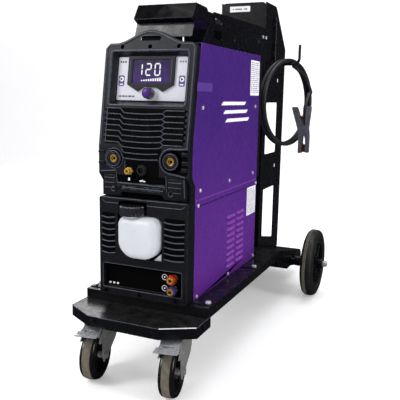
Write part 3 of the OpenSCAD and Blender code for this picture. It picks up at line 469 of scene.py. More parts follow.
copper = finish("copper", rgb(196, 110, 60), 0.3, metal=1.0, patch=200, edge_wear_and_highlight=rgb(240, 170, 110))
alloy = finish("alloy", rgb(180, 182, 186), 0.35, metal=1.0, patch=60, grain=0.00003,
               edge_wear_and_highlight=rgb(225, 226, 230))
board_green = finish("board_green", rgb(22, 92, 52), 0.4, patch=60, grain=0.00002, edge_wear_and_highlight=rgb(120, 160, 120))
winding = finish("winding", rgb(140, 80, 44), 0.35, metal=0.5, patch=200, grain=0.0002, grain_scale=700)
switch_red = finish("switch_red", rgb(180, 34, 26), 0.3, vary=0.1, edge_wear_and_highlight=rgb(225, 110, 100), coat=0.2)


def violet_paint():
    """Glossy violet powder coat, lighter and redder towards the bottom of the set as a painted reflection,
    with lighter edges that are partly wear and partly painted highlight.
    """
    s = Shader(bpy.data.materials.new("violet_paint"))
    height = s.add("ShaderNodeSeparateXYZ", Vector=s.coordinates["Object"]).outputs["Z"]
    drift = s.math("ADD", height, s.math("MULTIPLY", s.noise(2.2, 3), 0.25))
    # Painted reflection: lighter and redder towards the bottom.
    tone = s.mix(s.spread(drift, 0.35, 0.75, 1, 0), rgb(62, 31, 112), rgb(94, 40, 134))
    tone = s.mix(s.spread(s.noise(5, 4), 0.4, 0.7, 0, 0.45), tone, rgb(76, 34, 126))
    worn_and_lit = s.math("MULTIPLY", s.edge(0.0012), s.spread(s.noise(70, 4), 0.45, 0.6, 0.25, 0.8))
    s.paint(Base_Color=s.mix(worn_and_lit, tone, rgb(180, 110, 200)), Specular_IOR_Level=0.22,
            Roughness=s.spread(s.noise(30, 5), 0.3, 0.7, 0.2, 0.32), Coat_Weight=0.06, Coat_Roughness=0.16)
    s.relief(0.00006, 700)
    return s.owner


def display_glass():
    """Dark violet screen, lighter towards the bottom, behind clear glass."""
    s = Shader(bpy.data.materials.new("display_glass"))
    height = s.add("ShaderNodeSeparateXYZ", Vector=s.coordinates["Object"]).outputs["Z"]
    tone = s.mix(s.spread(height, 0.72, 0.79, 0, 1), rgb(52, 26, 96), rgb(24, 9, 46))
    tone = s.mix(s.spread(s.noise(30, 3), 0.4, 0.7, 0, 0.25), tone, rgb(40, 18, 70))
    s.paint(Base_Color=tone, Emission_Color=tone, Emission_Strength=0.12,
            Roughness=s.spread(s.noise(60, 4), 0.3, 0.7, 0.12, 0.22))
    s.relief(0.00001, 900)
    return s.owner


def bolt_finish(name, black_y, black_z):
    """Zinc screws and bolts, blackened in front of black_y and below black_z, both in metres."""
    s = Shader(bpy.data.materials.new(name))
    place = s.add("ShaderNodeSeparateXYZ", Vector=s.coordinates["Object"]).outputs
    low = s.math("LESS_THAN", place["Z"], black_z)
    black = s.math("MULTIPLY", low, s.math("LESS_THAN", place["Y"], black_y))
    tone = s.mix(s.spread(s.noise(60, 4), 0.3, 0.7, 0, 1), rgb(205, 207, 214), rgb(244, 245, 248))
    # Lighter edges: wear, and on the blackened bolts a painted highlight.
    worn_and_lit = s.math("MULTIPLY", s.edge(0.0005), s.spread(s.noise(90, 4), 0.4, 0.6, 0.3, 1))
    tone = s.mix(black, tone, rgb(10, 10, 12))
    s.paint(Base_Color=s.mix(worn_and_lit, tone, rgb(200, 202, 210)),
            Metallic=s.math("MULTIPLY", s.math("SUBTRACT", 1.0, black), 0.4),
            Roughness=s.spread(s.noise(120, 3), 0.3, 0.7, 0.18, 0.32))
    s.relief(0.00001, 1200)
    return s.owner


violet = violet_paint()
screen = display_glass()
bolt_steel = bolt_finish("bolt_finish", -0.38, 0.196)
screw_steel = bolt_finish("screw_finish", -0.45, 2.0)

# The CAD node that a dressing piece rides with, and that node's material slot
SOURCE_FRONT = ("source_front", "moulding_black")
COOLER_FRONT = ("cooler_front", "moulding_black")
SOURCE_COVER = ("source_cover", "cover_purple")
COOLER_COVER = ("cooler_cover", "cover_purple")
DISPLAY = ("display_unit", "display_dark")
PANEL = ("control_panel", "panel_grey")
TANK = ("coolant_tank", "tank_white")
EARTH_CABLE = ("earth_cable", "cable_rubber")
BASE_PAN = ("base_pan", "cart_paint")
MAST = ("mast", "cart_paint")

# -------- CAD shapes with softened edges: (material, slot, edge width in mm, nodes)
SOFTENED = (
    (cart_black, "cart_paint", 1.0, ("base_pan", "tray", "rear_frame")),
    (cart_black, "cart_paint", 0.7, ("mast", "torch_shelf")),
    (hook_black, "hook_steel", 0.4, ("cable_hook",)),
    (steel_bar, "axle_steel", 1.2, ("rear_axle",)),
    (zinc, "zinc", 0.8, ("axle_nuts",)),
    (bolt_steel, "zinc", 0.7, ("cart_bolts",)),
    (screw_steel, "zinc", 0.7, ("panel_screws",)),
    (moulding_black, "moulding_black", 0.8, ("source_rear",)),
    (moulding_black, "moulding_black", 0.6, ("cooler_rear", "cooler_front", "source_front")),
    (moulding_black, "moulding_black", 0.6, ("dinse_insulators",)),
    (violet, "cover_purple", 0.5, ("source_cover",)),
    (violet, "cover_purple", 0.4, ("cooler_cover",)),
    (panel_grey, "panel_grey", 0.3, ("control_panel",)),
    (moulding_black, "display_dark", 0.4, ("display_unit",)),
    (red_anodised, "red_anodised", 0.5, ("red_sleeve",)),
    (blue_anodised, "blue_anodised", 0.5, ("blue_sleeve",)),
    (brass, "brass", 0.5, ("coupling_bodies", "dinse_contacts")),
    (brass, "brass", 0.4, ("gas_fittings",)),
    (moulding_black, "moulding_black", 0.4, ("control_socket",)),
    (switch_red, "switch_red", 0.8, ("mains_switch",)),
    (cable_black, "cable_rubber", 0.6, ("mains_cable",)),
    (cable_black, "cable_rubber", 0.4, ("earth_cable",)),
    (dull_zinc, "zinc", 0.6, ("caster_fork_left", "caster_fork_right")),
    (zinc, "zinc", 0.5, ("brake_pedal_left", "brake_pedal_right")),
    (zinc, "zinc", 0.6, ("caster_plates",)),
    (wheel_plastic, "rim_plastic", 0.8, ("rear_rim_left", "rear_rim_right")),
    (clamp_steel, "clamp_zinc", 0.5, ("clamp_fixed_arm", "clamp_moving_arm", "clamp_pin")),
    (copper, "copper", 0.4, ("clamp_contact_fixed", "clamp_contact_moving", "clamp_spring")),
)
for material, slot, width, nodes in SOFTENED:
    for node in nodes:
        softened(node, material, slot, width)

# -------- front of the power source
WALL = front_frame(0, 0)  # plan on the plane y = 0, height towards the viewer
# Fields at these heights are painted shade in openings and recesses.
SKIN = (0.05, 0.5)  # heights of a dark field just in front of a wall


def on_front(x, s, out=0.0):
    """Point on the source's front: s along it from the foot of the leaning face, out towards the viewer."""
    if s >= 0:
        return FACE_FRONT @ Vector((x, s, out))
    return Vector((x, -out, FACE_Z + s))


def bars(name, paths, r, material, like, slot, n=10):
    """Round bars along paths of working points, joined in one piece."""
    bm = bmesh.new()
    for path in paths:
        tube(bm, path, r, n)
    return piece(name, bm, material, like, slot)


def tile(bm, corners, r, heights, plane, n=5):
    """Thin plate with rounded corners over the rectangle x0, y0, x1, y1."""
    prism(bm, box_outline(*corners, r, n), *heights, plane)


def dots(bm, x, y, width, height, pitch, heights, plane):
    """Row of three small printed marks."""
    for k in range(3):
        left = x + pitch * k
        tile(bm, (left, y, left + width, y + height), 1.5, heights, plane)


def bow(x0, x1, n=12):
    """Places from x0 to x1, each with its share of a half wave."""
    return [(x0 + (x1 - x0) * i / n, math.sin(math.pi * i / n)) for i in range(n + 1)]


# Grille: a dark field of painted shade behind the blades and in the pocket below, with thin blades in three
# columns, the middle one bowed; the blades are painted a lighter grey as highlights
FIELD_HW, FIELD_FOOT, FIELD_TOP = 105, 6, 92
bm = bmesh.new()
tile(bm, (-FIELD_HW, FIELD_FOOT, FIELD_HW, FIELD_TOP), 3, SKIN, FACE_FRONT)
tile(bm, (-52, FACE_Z - 28, 50, FACE_Z + 8), 3, SKIN, WALL)
tile(bm, (-46, 530, 44, 569), 3, SKIN, WALL)
piece("grille_field", bm, shade_and_deep_black, *SOURCE_FRONT)

BLADE_PITCH, BLADE_END, BLADE_R = 13.4, 103, 1.25
BLADE_OUT, BLADE_SWELL, BLADE_SAG = 1.0, 1.5, 2.2
WIDE_ROWS = 7  # rows that reach both sides; two short ones follow
LEFT_JOINT, RIGHT_JOINT = -66, 55  # where the side blades meet the slanted links
middle = [80.5 - BLADE_PITCH * k for k in range(WIDE_ROWS + 2)]
left = [91.5 - BLADE_PITCH * k for k in range(WIDE_ROWS)]
right = [88 - BLADE_PITCH * k for k in range(WIDE_ROWS)]
blades = []
for k, s in enumerate(middle):
    wide = k < WIDE_ROWS
    x0, x1 = (-56, 46) if wide else (-50, 42)
    run = [(-BLADE_END, left[k]), (LEFT_JOINT, left[k] - 1)] if wide else [(x0 - 6, s + 8)]
    run += [(x, s - BLADE_SAG * dip) for x, dip in bow(x0, x1)]
    swell = [BLADE_SWELL * math.sin(math.pi * (x + BLADE_END) / (2 * BLADE_END)) for x, y in run]
    blades.append([on_front(x, y, BLADE_OUT + out) for (x, y), out in zip(run, swell)])
for k, s in enumerate(right):
    runs = [[(BLADE_END, s), (RIGHT_JOINT, s), (46, middle[k])]]
    if k < WIDE_ROWS - 1:
        runs.append([(46, middle[k]), (RIGHT_JOINT, right[k + 1])])
    blades += [[on_front(x, y, BLADE_OUT) for x, y in run] for run in runs]
blades.append([on_front(-BLADE_END, s, BLADE_OUT) for s in (91, 50, 9)])
bars("grille_blades", blades, BLADE_R, highlight_grey, *SOURCE_FRONT)

# Raised rims: round the arch and down the sides, and round the control recess. They, and the rings round the
# hand slot and screw holes, are painted a lighter grey as highlights
ARCH_HW, ARCH_H = 95, 30
RIM_INSET, RIM_CORNER = 5, 10
lean_length = (SOURCE_TOP - FACE_Z) / math.cos(TILT)
rim_top = lean_length - 4.5
corner_x, corner_s = HW - RIM_INSET - RIM_CORNER, rim_top - RIM_CORNER
crest = [(x, rim_top + ARCH_H * math.cos(math.pi / 2 * x / ARCH_HW) ** 2) for x in
         [ARCH_HW * i / 16 for i in range(16, -17, -1)]]
climb = [2] + [lean_length * i / 8 for i in range(1, 8)]
outline = [(HW - RIM_INSET, s) for s in climb] + arc(corner_x, corner_s, RIM_CORNER, 0, 90, 6) + crest
outline += arc(-corner_x, corner_s, RIM_CORNER, 90, 180, 6) + [(RIM_INSET - HW, s) for s in climb[::-1]]
bars("front_rim", [[on_front(x, s, 0.6) for x, s in outline]], 1.9, highlight_grey, *SOURCE_FRONT, 12)
bead = closed(box_outline(-103.5, 98.5, 103.5, 228.5, 8))
bars("recess_rim", [[on_front(x, s, 0.4) for x, s in bead]], 2.4, highlight_grey, *SOURCE_FRONT, 12)
SLOT = (-28, 250, 28, 263)  # hand slot under the arch, three screw holes below it
openings = [closed(box_outline(*SLOT, 6))] + [closed(circle(6.2, 20, (x, 237))) for x in (-75, 0, 75)]
rims = [[on_front(x, s, 0.1) for x, s in loop] for loop in openings]
bars("hole_rims", rims, 0.7, highlight_grey, *SOURCE_FRONT, 8)
# Painted shade: a dark plate behind the hand slot.
bm = bmesh.new()
tile(bm, (SLOT[0] + 0.5, SLOT[1], SLOT[2] - 0.5, SLOT[3]), 5, (-7, -5), FACE_FRONT)
piece("handle_back", bm, shade_and_deep_black, *SOURCE_FRONT)

# Sloping walls of the control recess, from the rim back to the panel's dark surround
slopes = [((-100.8, 101.2, 100.8, 225.8, 7), 0.0), ((-97.5, 106, 97.5, 222, 5), -9.0),
          ((-95.5, 109, 95.5, 219.5, 4), -17.0), ((-94.8, 110, 94.8, 218.5, 3), -17.6),
          ((-98, 103, 98, 224, 6), -17.6), ((-100.9, 101.1, 100.9, 225.9, 7), -12.0)]
bm = bmesh.new()
loft(bm, [[(x, y, h) for x, y in box_outline(*corners)] for corners, h in slopes], FACE_FRONT, loop=True)
piece("recess_walls", bm, moulding_black, *SOURCE_FRONT, sharp=50)
bm = bmesh.new()
tile(bm, (-95, 110, 95, 219), 3, (-19.4, -18.9), FACE_FRONT)
piece("recess_floor", bm, shade_and_deep_black, *SOURCE_FRONT)

# -------- display, panel marks and knob
# Seven-segment digits: the strokes of each, and each stroke's ends in shares of width and height
SEGMENTS = {"1": "bc", "2": "abged", "0": "abcdef"}
ENDS = {"a": ((0, 1), (1, 1)), "b": ((1, 1), (1, 0.5)), "c": ((1, 0.5), (1, 0)), "d": ((0, 0), (1, 0)),
        "e": ((0, 0), (0, 0.5)), "f": ((0, 0.5), (0, 1)), "g": ((0, 0.5), (1, 0.5))}
DIGIT_W, DIGIT_H, DIGIT_FOOT = 13, 27, 173


def stroke(bm, a, b, width, heights):
    """Thin bar with pointed ends between two points of the leaning face."""
    a, b = Vector(a), Vector(b)
    along = (b - a).normalized()
    side = Vector((-along.y, along.x)) * width / 2
    tip = along * width / 2
    a, b = a + tip * 0.4, b - tip * 0.4
    loop = [a, a + tip - side, b - tip - side, b, b - tip + side, a + tip + side]
    prism(bm, [tuple(p) for p in loop], *heights, FACE_FRONT)


SCREEN_H = -14.9
LIT = (SCREEN_H + 0.5, SCREEN_H + 0.8)
bm = bmesh.new()
tile(bm, (-50, 153, 50, 210), 2, (SCREEN_H, SCREEN_H + 0.5), FACE_FRONT)
piece("screen", bm, screen, *DISPLAY)
bm = bmesh.new()
for digit, x in (("1", -38), ("2", -14), ("0", 10)):
    for letter in SEGMENTS[digit]:
        stroke(bm, *[(x + DIGIT_W * u, DIGIT_FOOT + DIGIT_H * v) for u, v in ENDS[letter]], 3.0, LIT)
for k in range(9):
    x, height = -26 + 6.2 * k, 2.5 + 0.7 * k
    tile(bm, (x, 159, x + 4, 159 + height), 0.5, LIT, FACE_FRONT, 2)
piece("readout", bm, print_white, *DISPLAY)
# Painted highlights: lighter grey beads down the sides of the display's bezel.
beads = [[on_front(s * 56, z, -12.0) for z in (155, 180, 209)] for s in (-1, 1)]
bars("bezel_beads", beads, 2.0, highlight_grey, *DISPLAY)

PANEL_H = -17.45
PRINT = (PANEL_H, PANEL_H + 0.25)
ICON_PRINT = (PANEL_H + 0.2, PANEL_H + 0.4)
ICON_X, ICON_S, KNOB_S = 81, 164, 129
bm = bmesh.new()
for x in (-ICON_X, ICON_X):
    tile(bm, (x - 8, ICON_S - 17, x + 8, ICON_S + 9), 4, PRINT, FACE_FRONT)
for k in range(-3, 4):
    a = math.radians(k * 16)
    stroke(bm, *[(r * math.cos(a), KNOB_S + r * math.sin(a)) for r in (18.5, 23)], 1.6, PRINT)
piece("panel_icons", bm, print_violet, *PANEL)
bm = bmesh.new()
for x in (-ICON_X, ICON_X):
    prism(bm, circle(6, 24, (x, ICON_S)), *ICON_PRINT, FACE_FRONT)
    tile(bm, (x - 5, ICON_S - 14, x + 5, ICON_S - 11), 1.4, ICON_PRINT, FACE_FRONT)
piece("icon_fields", bm, print_white, *PANEL)
bm = bmesh.new()
for x in (-ICON_X, ICON_X):
    arrow = [(x - 3, ICON_S - 3.8), (x + 4, ICON_S), (x - 3, ICON_S + 3.8)]
    prism(bm, arrow, PANEL_H + 0.35, PANEL_H + 0.6, FACE_FRONT)
x = -85
for width in (7, 7, 5, 9, 6):
    tile(bm, (x, 121, x + width, 124.5), 1, PRINT, FACE_FRONT)
    x += width + 2.2
dots(bm, -88, 203, 4.5, 4.5, 6.5, PRINT, FACE_FRONT)
piece("panel_dashes", bm, print_black, *PANEL)
bm = bmesh.new()
dots(bm, 72, 203, 4.5, 4.5, 6.5, PRINT, FACE_FRONT)
piece("panel_faint_dashes", bm, print_grey, *PANEL)

knob_frame = FACE @ front_frame(0, KNOB_S)
DOME_R, DOME_H, DOME_FOOT = 11.3, 4.2, 1.2
bm = bmesh.new()
prism(bm, fluted(12.9, 0.55, 36, 216), -15, 1.5, knob_frame, round_top=1.6, round_bottom=0.6)
piece("knob_grip", bm, cap_gloss, "knob", "knob_purple", replaces=["knob"])
bm = bmesh.new()
dome = [(DOME_R * math.cos(a), DOME_FOOT + DOME_H * math.sin(a)) for a in
        [math.pi / 2 * k / 10 for k in range(10)]]
lathe(bm, [(0, 0.5), (DOME_R, 0.5)] + dome + [(0, DOME_FOOT + DOME_H)], knob_frame, 48)
piece("knob_dome", bm, violet, "knob", "knob_purple")

# -------- sockets, pocket and chin
cowl = [(118, 602), (104, 600.5)] + arc(SOCKET_X, SOCKET_Z, 29, 80, 262, 30) + [(96, 539.5), (112, 536)]
left_ring = circle(24, 40, (-SOCKET_X, SOCKET_Z))
bm = bmesh.new()
for x, r in ((SOCKET_X, 27.5), (-SOCKET_X, 23)):
    prism(bm, circle(r, 40, (x, SOCKET_Z)), 0.05, 0.6, WALL)
tile(bm, (SOCKET_X, 541, 119, 600), 2, (0.05, 0.6), WALL)
piece("socket_fields", bm, shade_and_deep_black, *SOURCE_FRONT)
# Painted highlights in a lighter grey: the cowl round the right socket and the rings round both sockets.
bars("socket_cowl", [[(x, -1.0, z) for x, z in cowl]], 2.2, highlight_grey, *SOURCE_FRONT, 12)
rings = [[(x, -1.0, z) for x, z in closed(left_ring)]]
rings += [[(x, -6.2, z) for x, z in closed(circle(18.3, 36, (s * SOCKET_X, SOCKET_Z)))] for s in (-1, 1)]
bars("socket_rings", rings, 1.3, highlight_grey, *SOURCE_FRONT)
bm = bmesh.new()
for x0, x1, out, height, rows in ((104, 119.5, 3.5, 9, (584, 564, 548)), (-120.5, -103, 3, 7, (582, 556))):
    for z in rows:
        block(bm, (x0, -out, z), (x1, 1, z + height), bevel=1.2)
piece("socket_ribs", bm, moulding_black, *SOURCE_FRONT)
# Painted highlight: a lighter grey line down the pocket's lip.
bars("pocket_lip", [[(-47, -0.5, z) for z in (536, 548, 566)]], 1.5, highlight_grey, *SOURCE_FRONT, 12)
bm = bmesh.new()
for mark in ((-37, 519.5, -33, 526.5), (-6, 519, 1, 522), (3, 518.6, 9, 521.2), (0, 521, 3, 523.5)):
    tile(bm, mark, 1, (0.6, 2.4), WALL)
piece("socket_marks", bm, print_white, *SOURCE_FRONT)

# Chin: a block with a notch above and below, two lips across it, ribs at its sides and two screw wells. The
# ribs, the lines along the lips and edge and the well rings are painted a lighter grey as highlights;
# chin_shade fills the notches and wells with painted shade
CHIN_LEFT, CHIN_RIGHT, CHIN_FOOT, CHIN_TOP = -108, 111, 480, 531
CHIN_BACK = -15
chin = [(CHIN_LEFT, CHIN_FOOT), (-62, CHIN_FOOT), (-57, 489.5), (51, 489.5), (58, CHIN_FOOT),
        (CHIN_RIGHT, CHIN_FOOT), (CHIN_RIGHT, CHIN_TOP), (62, CHIN_TOP), (60, 511), (-67, 511),
        (-70, CHIN_TOP), (CHIN_LEFT, CHIN_TOP)]
bm = bmesh.new()
prism(bm, chin, CHIN_BACK, -1.2, WALL, round_top=2)
prism(bm, [(-67, 513), (60, 513), (60, 506), (-67, 506)], CHIN_BACK, 1.2, WALL, round_top=1.2)
prism(bm, [(-54, 503.5), (56, 501), (56, 496.5), (-54, 499)], CHIN_BACK, 0.8, WALL, round_top=1.2)
piece("chin_body", bm, moulding_black, *SOURCE_FRONT, sharp=50)
ribs = [[(x0, -1.0, z), (x1, -1.0, z)] for x0, x1, rows in
        ((-103, -76, (523, 511, 499)), (69, 103, (522, 510)), (82, 102, (498,))) for z in rows]
ribs += [[(-71, -1.0, 540), (-69, -0.5, 512)], [(63, -1.0, 536), (65.5, -1.0, 497)]]
bars("chin_ribs", ribs, 1.0, highlight_grey, *SOURCE_FRONT)
ledges = [[(-67, -1.4, 512.6), (-4, -1.4, 511.6), (60, -1.4, 510)], [(-54, -0.9, 502.2), (56, -0.9, 499.8)],
          [(-114, -0.9, 538), (-71, -0.9, 542)], [(110, -1.0, 531), (111.5, 0.2, 488)]]
bars("chin_ledges", ledges, 1.5, highlight_grey, *SOURCE_FRONT)
bm = bmesh.new()
shade = bmesh.new()
well = [(4.2, 0), (6.6, 0), (6.6, 1.6), (5.4, 2.4), (4.2, 1.6)]
for x, z in ((-79.5, 496), (75.2, 494)):
    lathe(bm, well, front_frame(x, z, 1.4), 24, loop=True)
    prism(shade, circle(4.4, 24, (x, z)), -1.3, -0.6, WALL)
piece("chin_wells", bm, highlight_grey, *SOURCE_FRONT)
prism(shade, [(-66, 513), (59, 513), (59, CHIN_TOP), (-66, CHIN_TOP)], CHIN_BACK, -2.2, WALL)
prism(shade, [(-61, 477.5), (57, 477.5), (51, 489), (-57, 489)], -16.8, -12, WALL)
piece("chin_shade", shade, shade_and_deep_black, *SOURCE_FRONT)
bm = bmesh.new()
core = [(6.4, 0), (6.4, 3.4), (5.6, 4.2), (3.6, 4.2), (2.6, 2.6), (0, 2.6)]
for side in (-1, 1):
    lathe(bm, core, front_frame(side * SOCKET_X, SOCKET_Z, 3), 40)
piece("socket_cores", bm, brass, "dinse_contacts", "brass")

# -------- front of the cooler
LOUVRES, LOUVRE_PITCH, LOUVRE_FOOT = 7, 15, 334
LOUVRE_COLUMNS = ((-113, -76), (60, 113))
LIP_SAG, LIP_SWELL = 2.5, 1.2
RECESS_H = -11.8  # height of the floor of the coupling recess
# Painted shade: dark fields behind the louvre lips; a dark tile also covers the coupling recess's floor. The
# lips are painted a lighter grey as highlights.
bm = bmesh.new()
lips = []
for x0, x1 in LOUVRE_COLUMNS:
    tile(bm, (x0, LOUVRE_FOOT, x1, LOUVRE_FOOT + LOUVRES * LOUVRE_PITCH - 3), 3, SKIN, WALL)
    for z in [LOUVRE_FOOT + 2 + LOUVRE_PITCH * k for k in range(LOUVRES)]:
        lips.append([(x, -0.9 - LIP_SWELL * dip, z - LIP_SAG * dip) for x, dip in bow(x0, x1)])
tile(bm, (-109.5, 246.5, 105.5, 305.5), 3, (RECESS_H - 0.6, RECESS_H), WALL)
piece("cooler_fields", bm, shade_and_deep_black, *COOLER_FRONT)
bars("cooler_louvres", lips, 1.7, highlight_grey, *COOLER_FRONT)
# Painted highlights: lighter grey lines along the frame's edges and round the coupling recess.
frame_lines = [[(-112, -0.3, 468), (-104, -0.3, 461), (-68, -0.3, 461)],
               [(14, -0.3, 461), (104, -0.3, 461), (114, -0.3, 468)],
               [(x, -0.2, z) for x, z in closed(box_outline(-111.5, 244.5, 107.5, 307.5, 4))],
               [(x, -0.2, 473.5) for x in (-117, 0, 117)]]
bars("cooler_lines", frame_lines, 0.9, highlight_grey, *COOLER_FRONT, 8)
bm = bmesh.new()
for z in (288, 260):
    lathe(bm, [(6.1, 0), (7.5, 0), (7.5, 0.5), (6.1, 0.5)], front_frame(56, z, -RECESS_H), 32, loop=True)
    prism(bm, circle(2.0, 12, (56, z)), RECESS_H, RECESS_H + 0.6, WALL)
dots(bm, -101, 251, 6, 5, 11, (RECESS_H, RECESS_H + 0.4), WALL)
piece("cooler_marks", bm, print_white, *COOLER_FRONT)
bm = bmesh.new()
for x in (-103, -8, 91):
    lathe(bm, [(0, 2.9), (1.6, 2.9), (2.6, 2.4), (4.4, 2.2), (4.4, 0), (0, 0)], front_frame(x, 236), 24)
piece("cooler_front_screws", bm, shade_and_deep_black, *COOLER_FRONT)

# Tank: its body is drawn on the plane TANK_BACK behind the front and comes forward to TANK_FRONT
CAP_X, CAP_Y, NECK_FOOT = -27, 0, 432
TANK_FRONT, TANK_BACK = -27, 130
tank = rounded([(-59, 331, 44), (50, 331, 42), (50, 434, 22), (-59, 434, 21)], 12)
bm = bmesh.new()
prism(bm, tank, 0, TANK_BACK - TANK_FRONT, front_frame(0, 0, TANK_BACK), round_top=20, steps=10)
neck = [(18, 0), (23, 0), (23, 16), (18, 16)]
lathe(bm, neck, Matrix.Translation((CAP_X, CAP_Y, NECK_FOOT)), 40, loop=True)
piece("tank_body", bm, white_plastic, *TANK, replaces=["coolant_tank"], sharp=60)
# Painted shade: dark sheets behind the tank and behind its cap.
bm = bmesh.new()
tile(bm, (-72, 325, 56, 438), 6, (-16, -14), WALL)
tile(bm, (-63, 430, 9, 461), 4, (-66, -64), WALL)
piece("tank_well", bm, shade_and_deep_black, *COOLER_FRONT)
bm = bmesh.new()
prism(bm, [(30, 328), (50, 328), (50, 346)], -6, -4.5, WALL)
piece("tank_gusset", bm, white_plastic, *TANK)
bm = bmesh.new()
cap_frame = Matrix.Translation((CAP_X, CAP_Y, 0))
prism(bm, fluted(30.6, 1.1, 22, 220), 436, 460, cap_frame, round_top=3.5, round_bottom=0.8, steps=5)
piece("tank_cap_body", bm, cap_gloss, "tank_cap", "cap_black", replaces=["tank_cap"], sharp=50)

# -------- sheet covers
HOOD_L, HOOD_H, HOOD_OUT = 56, 7, 3.4
HOOD_ROWS, HOOD_PITCH, HOOD_COLUMNS = 9, 17.4, (256, 330)
bm = bmesh.new()
# Painted shadow: a dark strip under each hood; the long dark line lower down is the lid's seam.
hood_shadows_and_seam = bmesh.new()
for s in (-1, 1):
    wall, lip, root = s * COVER_HW, s * (COVER_HW + HOOD_OUT), s * (COVER_HW + 0.6)
    for y, k in [(y, k) for y in HOOD_COLUMNS for k in range(HOOD_ROWS)]:
        z = 255 + HOOD_PITCH * k
        outer = [(wall, y, z), (wall, y + HOOD_L, z), (wall, y + HOOD_L, z + HOOD_H), (wall, y, z + HOOD_H)]
        inner = [(lip, y + 3, z + 0.2), (lip, y + HOOD_L - 3, z + 0.2), (root, y + HOOD_L - 2, z + 6.6),
                 (root, y + 2, z + 6.6)]
        loft(bm, [outer, inner])
        block(hood_shadows_and_seam, (wall - 0.4, y + 1, z - 3.2), (wall + 0.25, y + HOOD_L - 1, z), bevel=0)
    block(hood_shadows_and_seam, (wall - 0.4, 41, 459.4), (wall + 0.3, CASE_D - 2, 461.0), bevel=0)
# Painted highlights: the hoods are a lighter violet, as is the line along the fold below.
piece("cover_hoods", bm, violet_highlight, *COOLER_COVER)
piece("cover_shadows_and_seam", hood_shadows_and_seam, shade_and_deep_black, *COOLER_COVER)
seams = [[(s * (COVER_HW - 0.4), y, SOURCE_Z - 0.6) for y in (40, 260, CASE_D - 1)] for s in (-1, 1)]
bars("cover_fold_highlight", seams, 1.0, violet_highlight, *COOLER_COVER)

# Prints on the right side: two plates with dashes instead of lettering, three stripes and a darker patch
ROW_PITCH, ROW_H = 5.5, 2.4
bm = bmesh.new()
marks = bmesh.new()
for y0, z0, y1, z1 in ((412, 727, 490, 826), (412, 374, 490, 458)):
    tile(bm, (y0, z0, y1, z1), 2, (0.02, 0.3), RIGHT_SIDE)
    row = z1 - 8
    random.seed(int(z0))
    while row > z0 + 4:
        x = y0 + 5
        while x < y1 - 10:
            width = random.uniform(4, 16)
            tile(marks, (x, row, min(x + width, y1 - 5), row + ROW_H), 0.4, (0.3, 0.4), RIGHT_SIDE, 2)
            x += width + random.uniform(2, 7)
        row -= ROW_PITCH
piece("rating_labels", bm, print_white, *SOURCE_COVER)
piece("label_lines", marks, print_grey, *SOURCE_COVER)
bm = bmesh.new()
for k in range(3):
    y0, z = 190 + 15 * k, 700 - 22 * k
    prism(bm, [(y0, z), (y0 + 176, z), (y0 + 190, z + 9), (y0 + 14, z + 9)], 0.02, 0.3, RIGHT_SIDE)
piece("side_stripes", bm, print_white, *SOURCE_COVER)
bm = bmesh.new()
tile(bm, (38, 733, 128, 753), 1, (0.02, 0.25), RIGHT_SIDE)
piece("side_patch", bm, print_violet, *SOURCE_COVER)

# -------- earth lead: tape on the coil, run to the clamp
COIL_AT, COIL_R, COIL_TURN = Vector((130, 771, 705.5)), 140, math.radians(-18)
COIL_SIDE = Vector((math.cos(COIL_TURN), math.sin(COIL_TURN), 0))
COIL_BACK = Vector((-math.sin(COIL_TURN), math.cos(COIL_TURN), 0))
LEAD_R, TURN_GAP, TAPED_R = 6.2, 7.4, 7.6


def coil_point(angle, out=0.0, r=COIL_R):
    """Point on the hanging coil: angle from the rear towards the top, out away from the mast."""
    a = math.radians(angle)
    return COIL_AT + COIL_BACK * (r * math.cos(a)) + COIL_SIDE * out + Vector((0, 0, r * math.sin(a)))


def curve_through(points, n=10):
    """Smooth path through the given points."""
    points = [Vector(p) for p in points]
    path = []
    for i in range(len(points) - 1):
        p0, p1, p2 = points[max(i - 1, 0)], points[i], points[i + 1]
        p3 = points[min(i + 2, len(points) - 1)]
        for k in range(n):
            t = k / n
            path.append(0.5 * (2 * p1 + (p2 - p0) * t + (2 * p0 - 5 * p1 + 4 * p2 - p3) * t * t
                               + (3 * p1 - p0 - 3 * p2 + p3) * t ** 3))
    return path + [points[-1]]


lead = curve_through([coil_point(80, 8, 126), coil_point(48, 12, 128), coil_point(20, 22, 124),
                      (190, 850, 735), (186, 812, 690), (191, 805, 652), (193, 805, 632)])
bars("earth_leads", [lead], LEAD_R, cable_black, *EARTH_CABLE, 14)
bm = bmesh.new()
for out in (-TURN_GAP, TURN_GAP):
    tube(bm, [coil_point(a, out) for a in range(52, 69, 4)], TAPED_R, 16)
tape_frame = axis_frame(coil_point(60), coil_point(60) - COIL_AT, COIL_SIDE)
block(bm, (-8.5, -13, -TURN_GAP), (8.5, 13, TURN_GAP), tape_frame, bevel=3)
piece("cable_tape", bm, rubber_black, *EARTH_CABLE)

# -------- painted edge highlights and plates of the cart
NOSE = [(-171.5, 31), (-171.5, -51), (-94.5, -96), (94.5, -96), (171.5, -51), (171.5, 31)]
# Painted highlights: lighter lines along the pan's top edges, and a bright glint along its right chamfer.
edges = [[(x, y, PAN_TOP) for x, y in NOSE[i:i + 2]] for i in (0, 1, 2, 4)]
bars("pan_edge_highlights", edges, 0.7, cart_edge_highlight, *BASE_PAN, 8)
glint = [(96, -95.3, PAN_TOP + 0.2), (170, -52, PAN_TOP + 0.2)]
bars("pan_glint", [glint], 1.2, cart_glint, *BASE_PAN, 8)
bm = bmesh.new()
marks = bmesh.new()
mast_face = front_frame(0, 0, 677)
tile(bm, (-48, 997, 22, 1015), 1.5, (0.02, 0.4), mast_face)
for x0, x1 in ((-38, -34), (-30, -6), (0, 12)):
    tile(marks, (x0, 1004, x1, 1008), 0.8, (0.4, 0.6), mast_face)
piece("mast_label", bm, print_white, *MAST)
piece("mast_label_marks", marks, print_grey, *MAST)

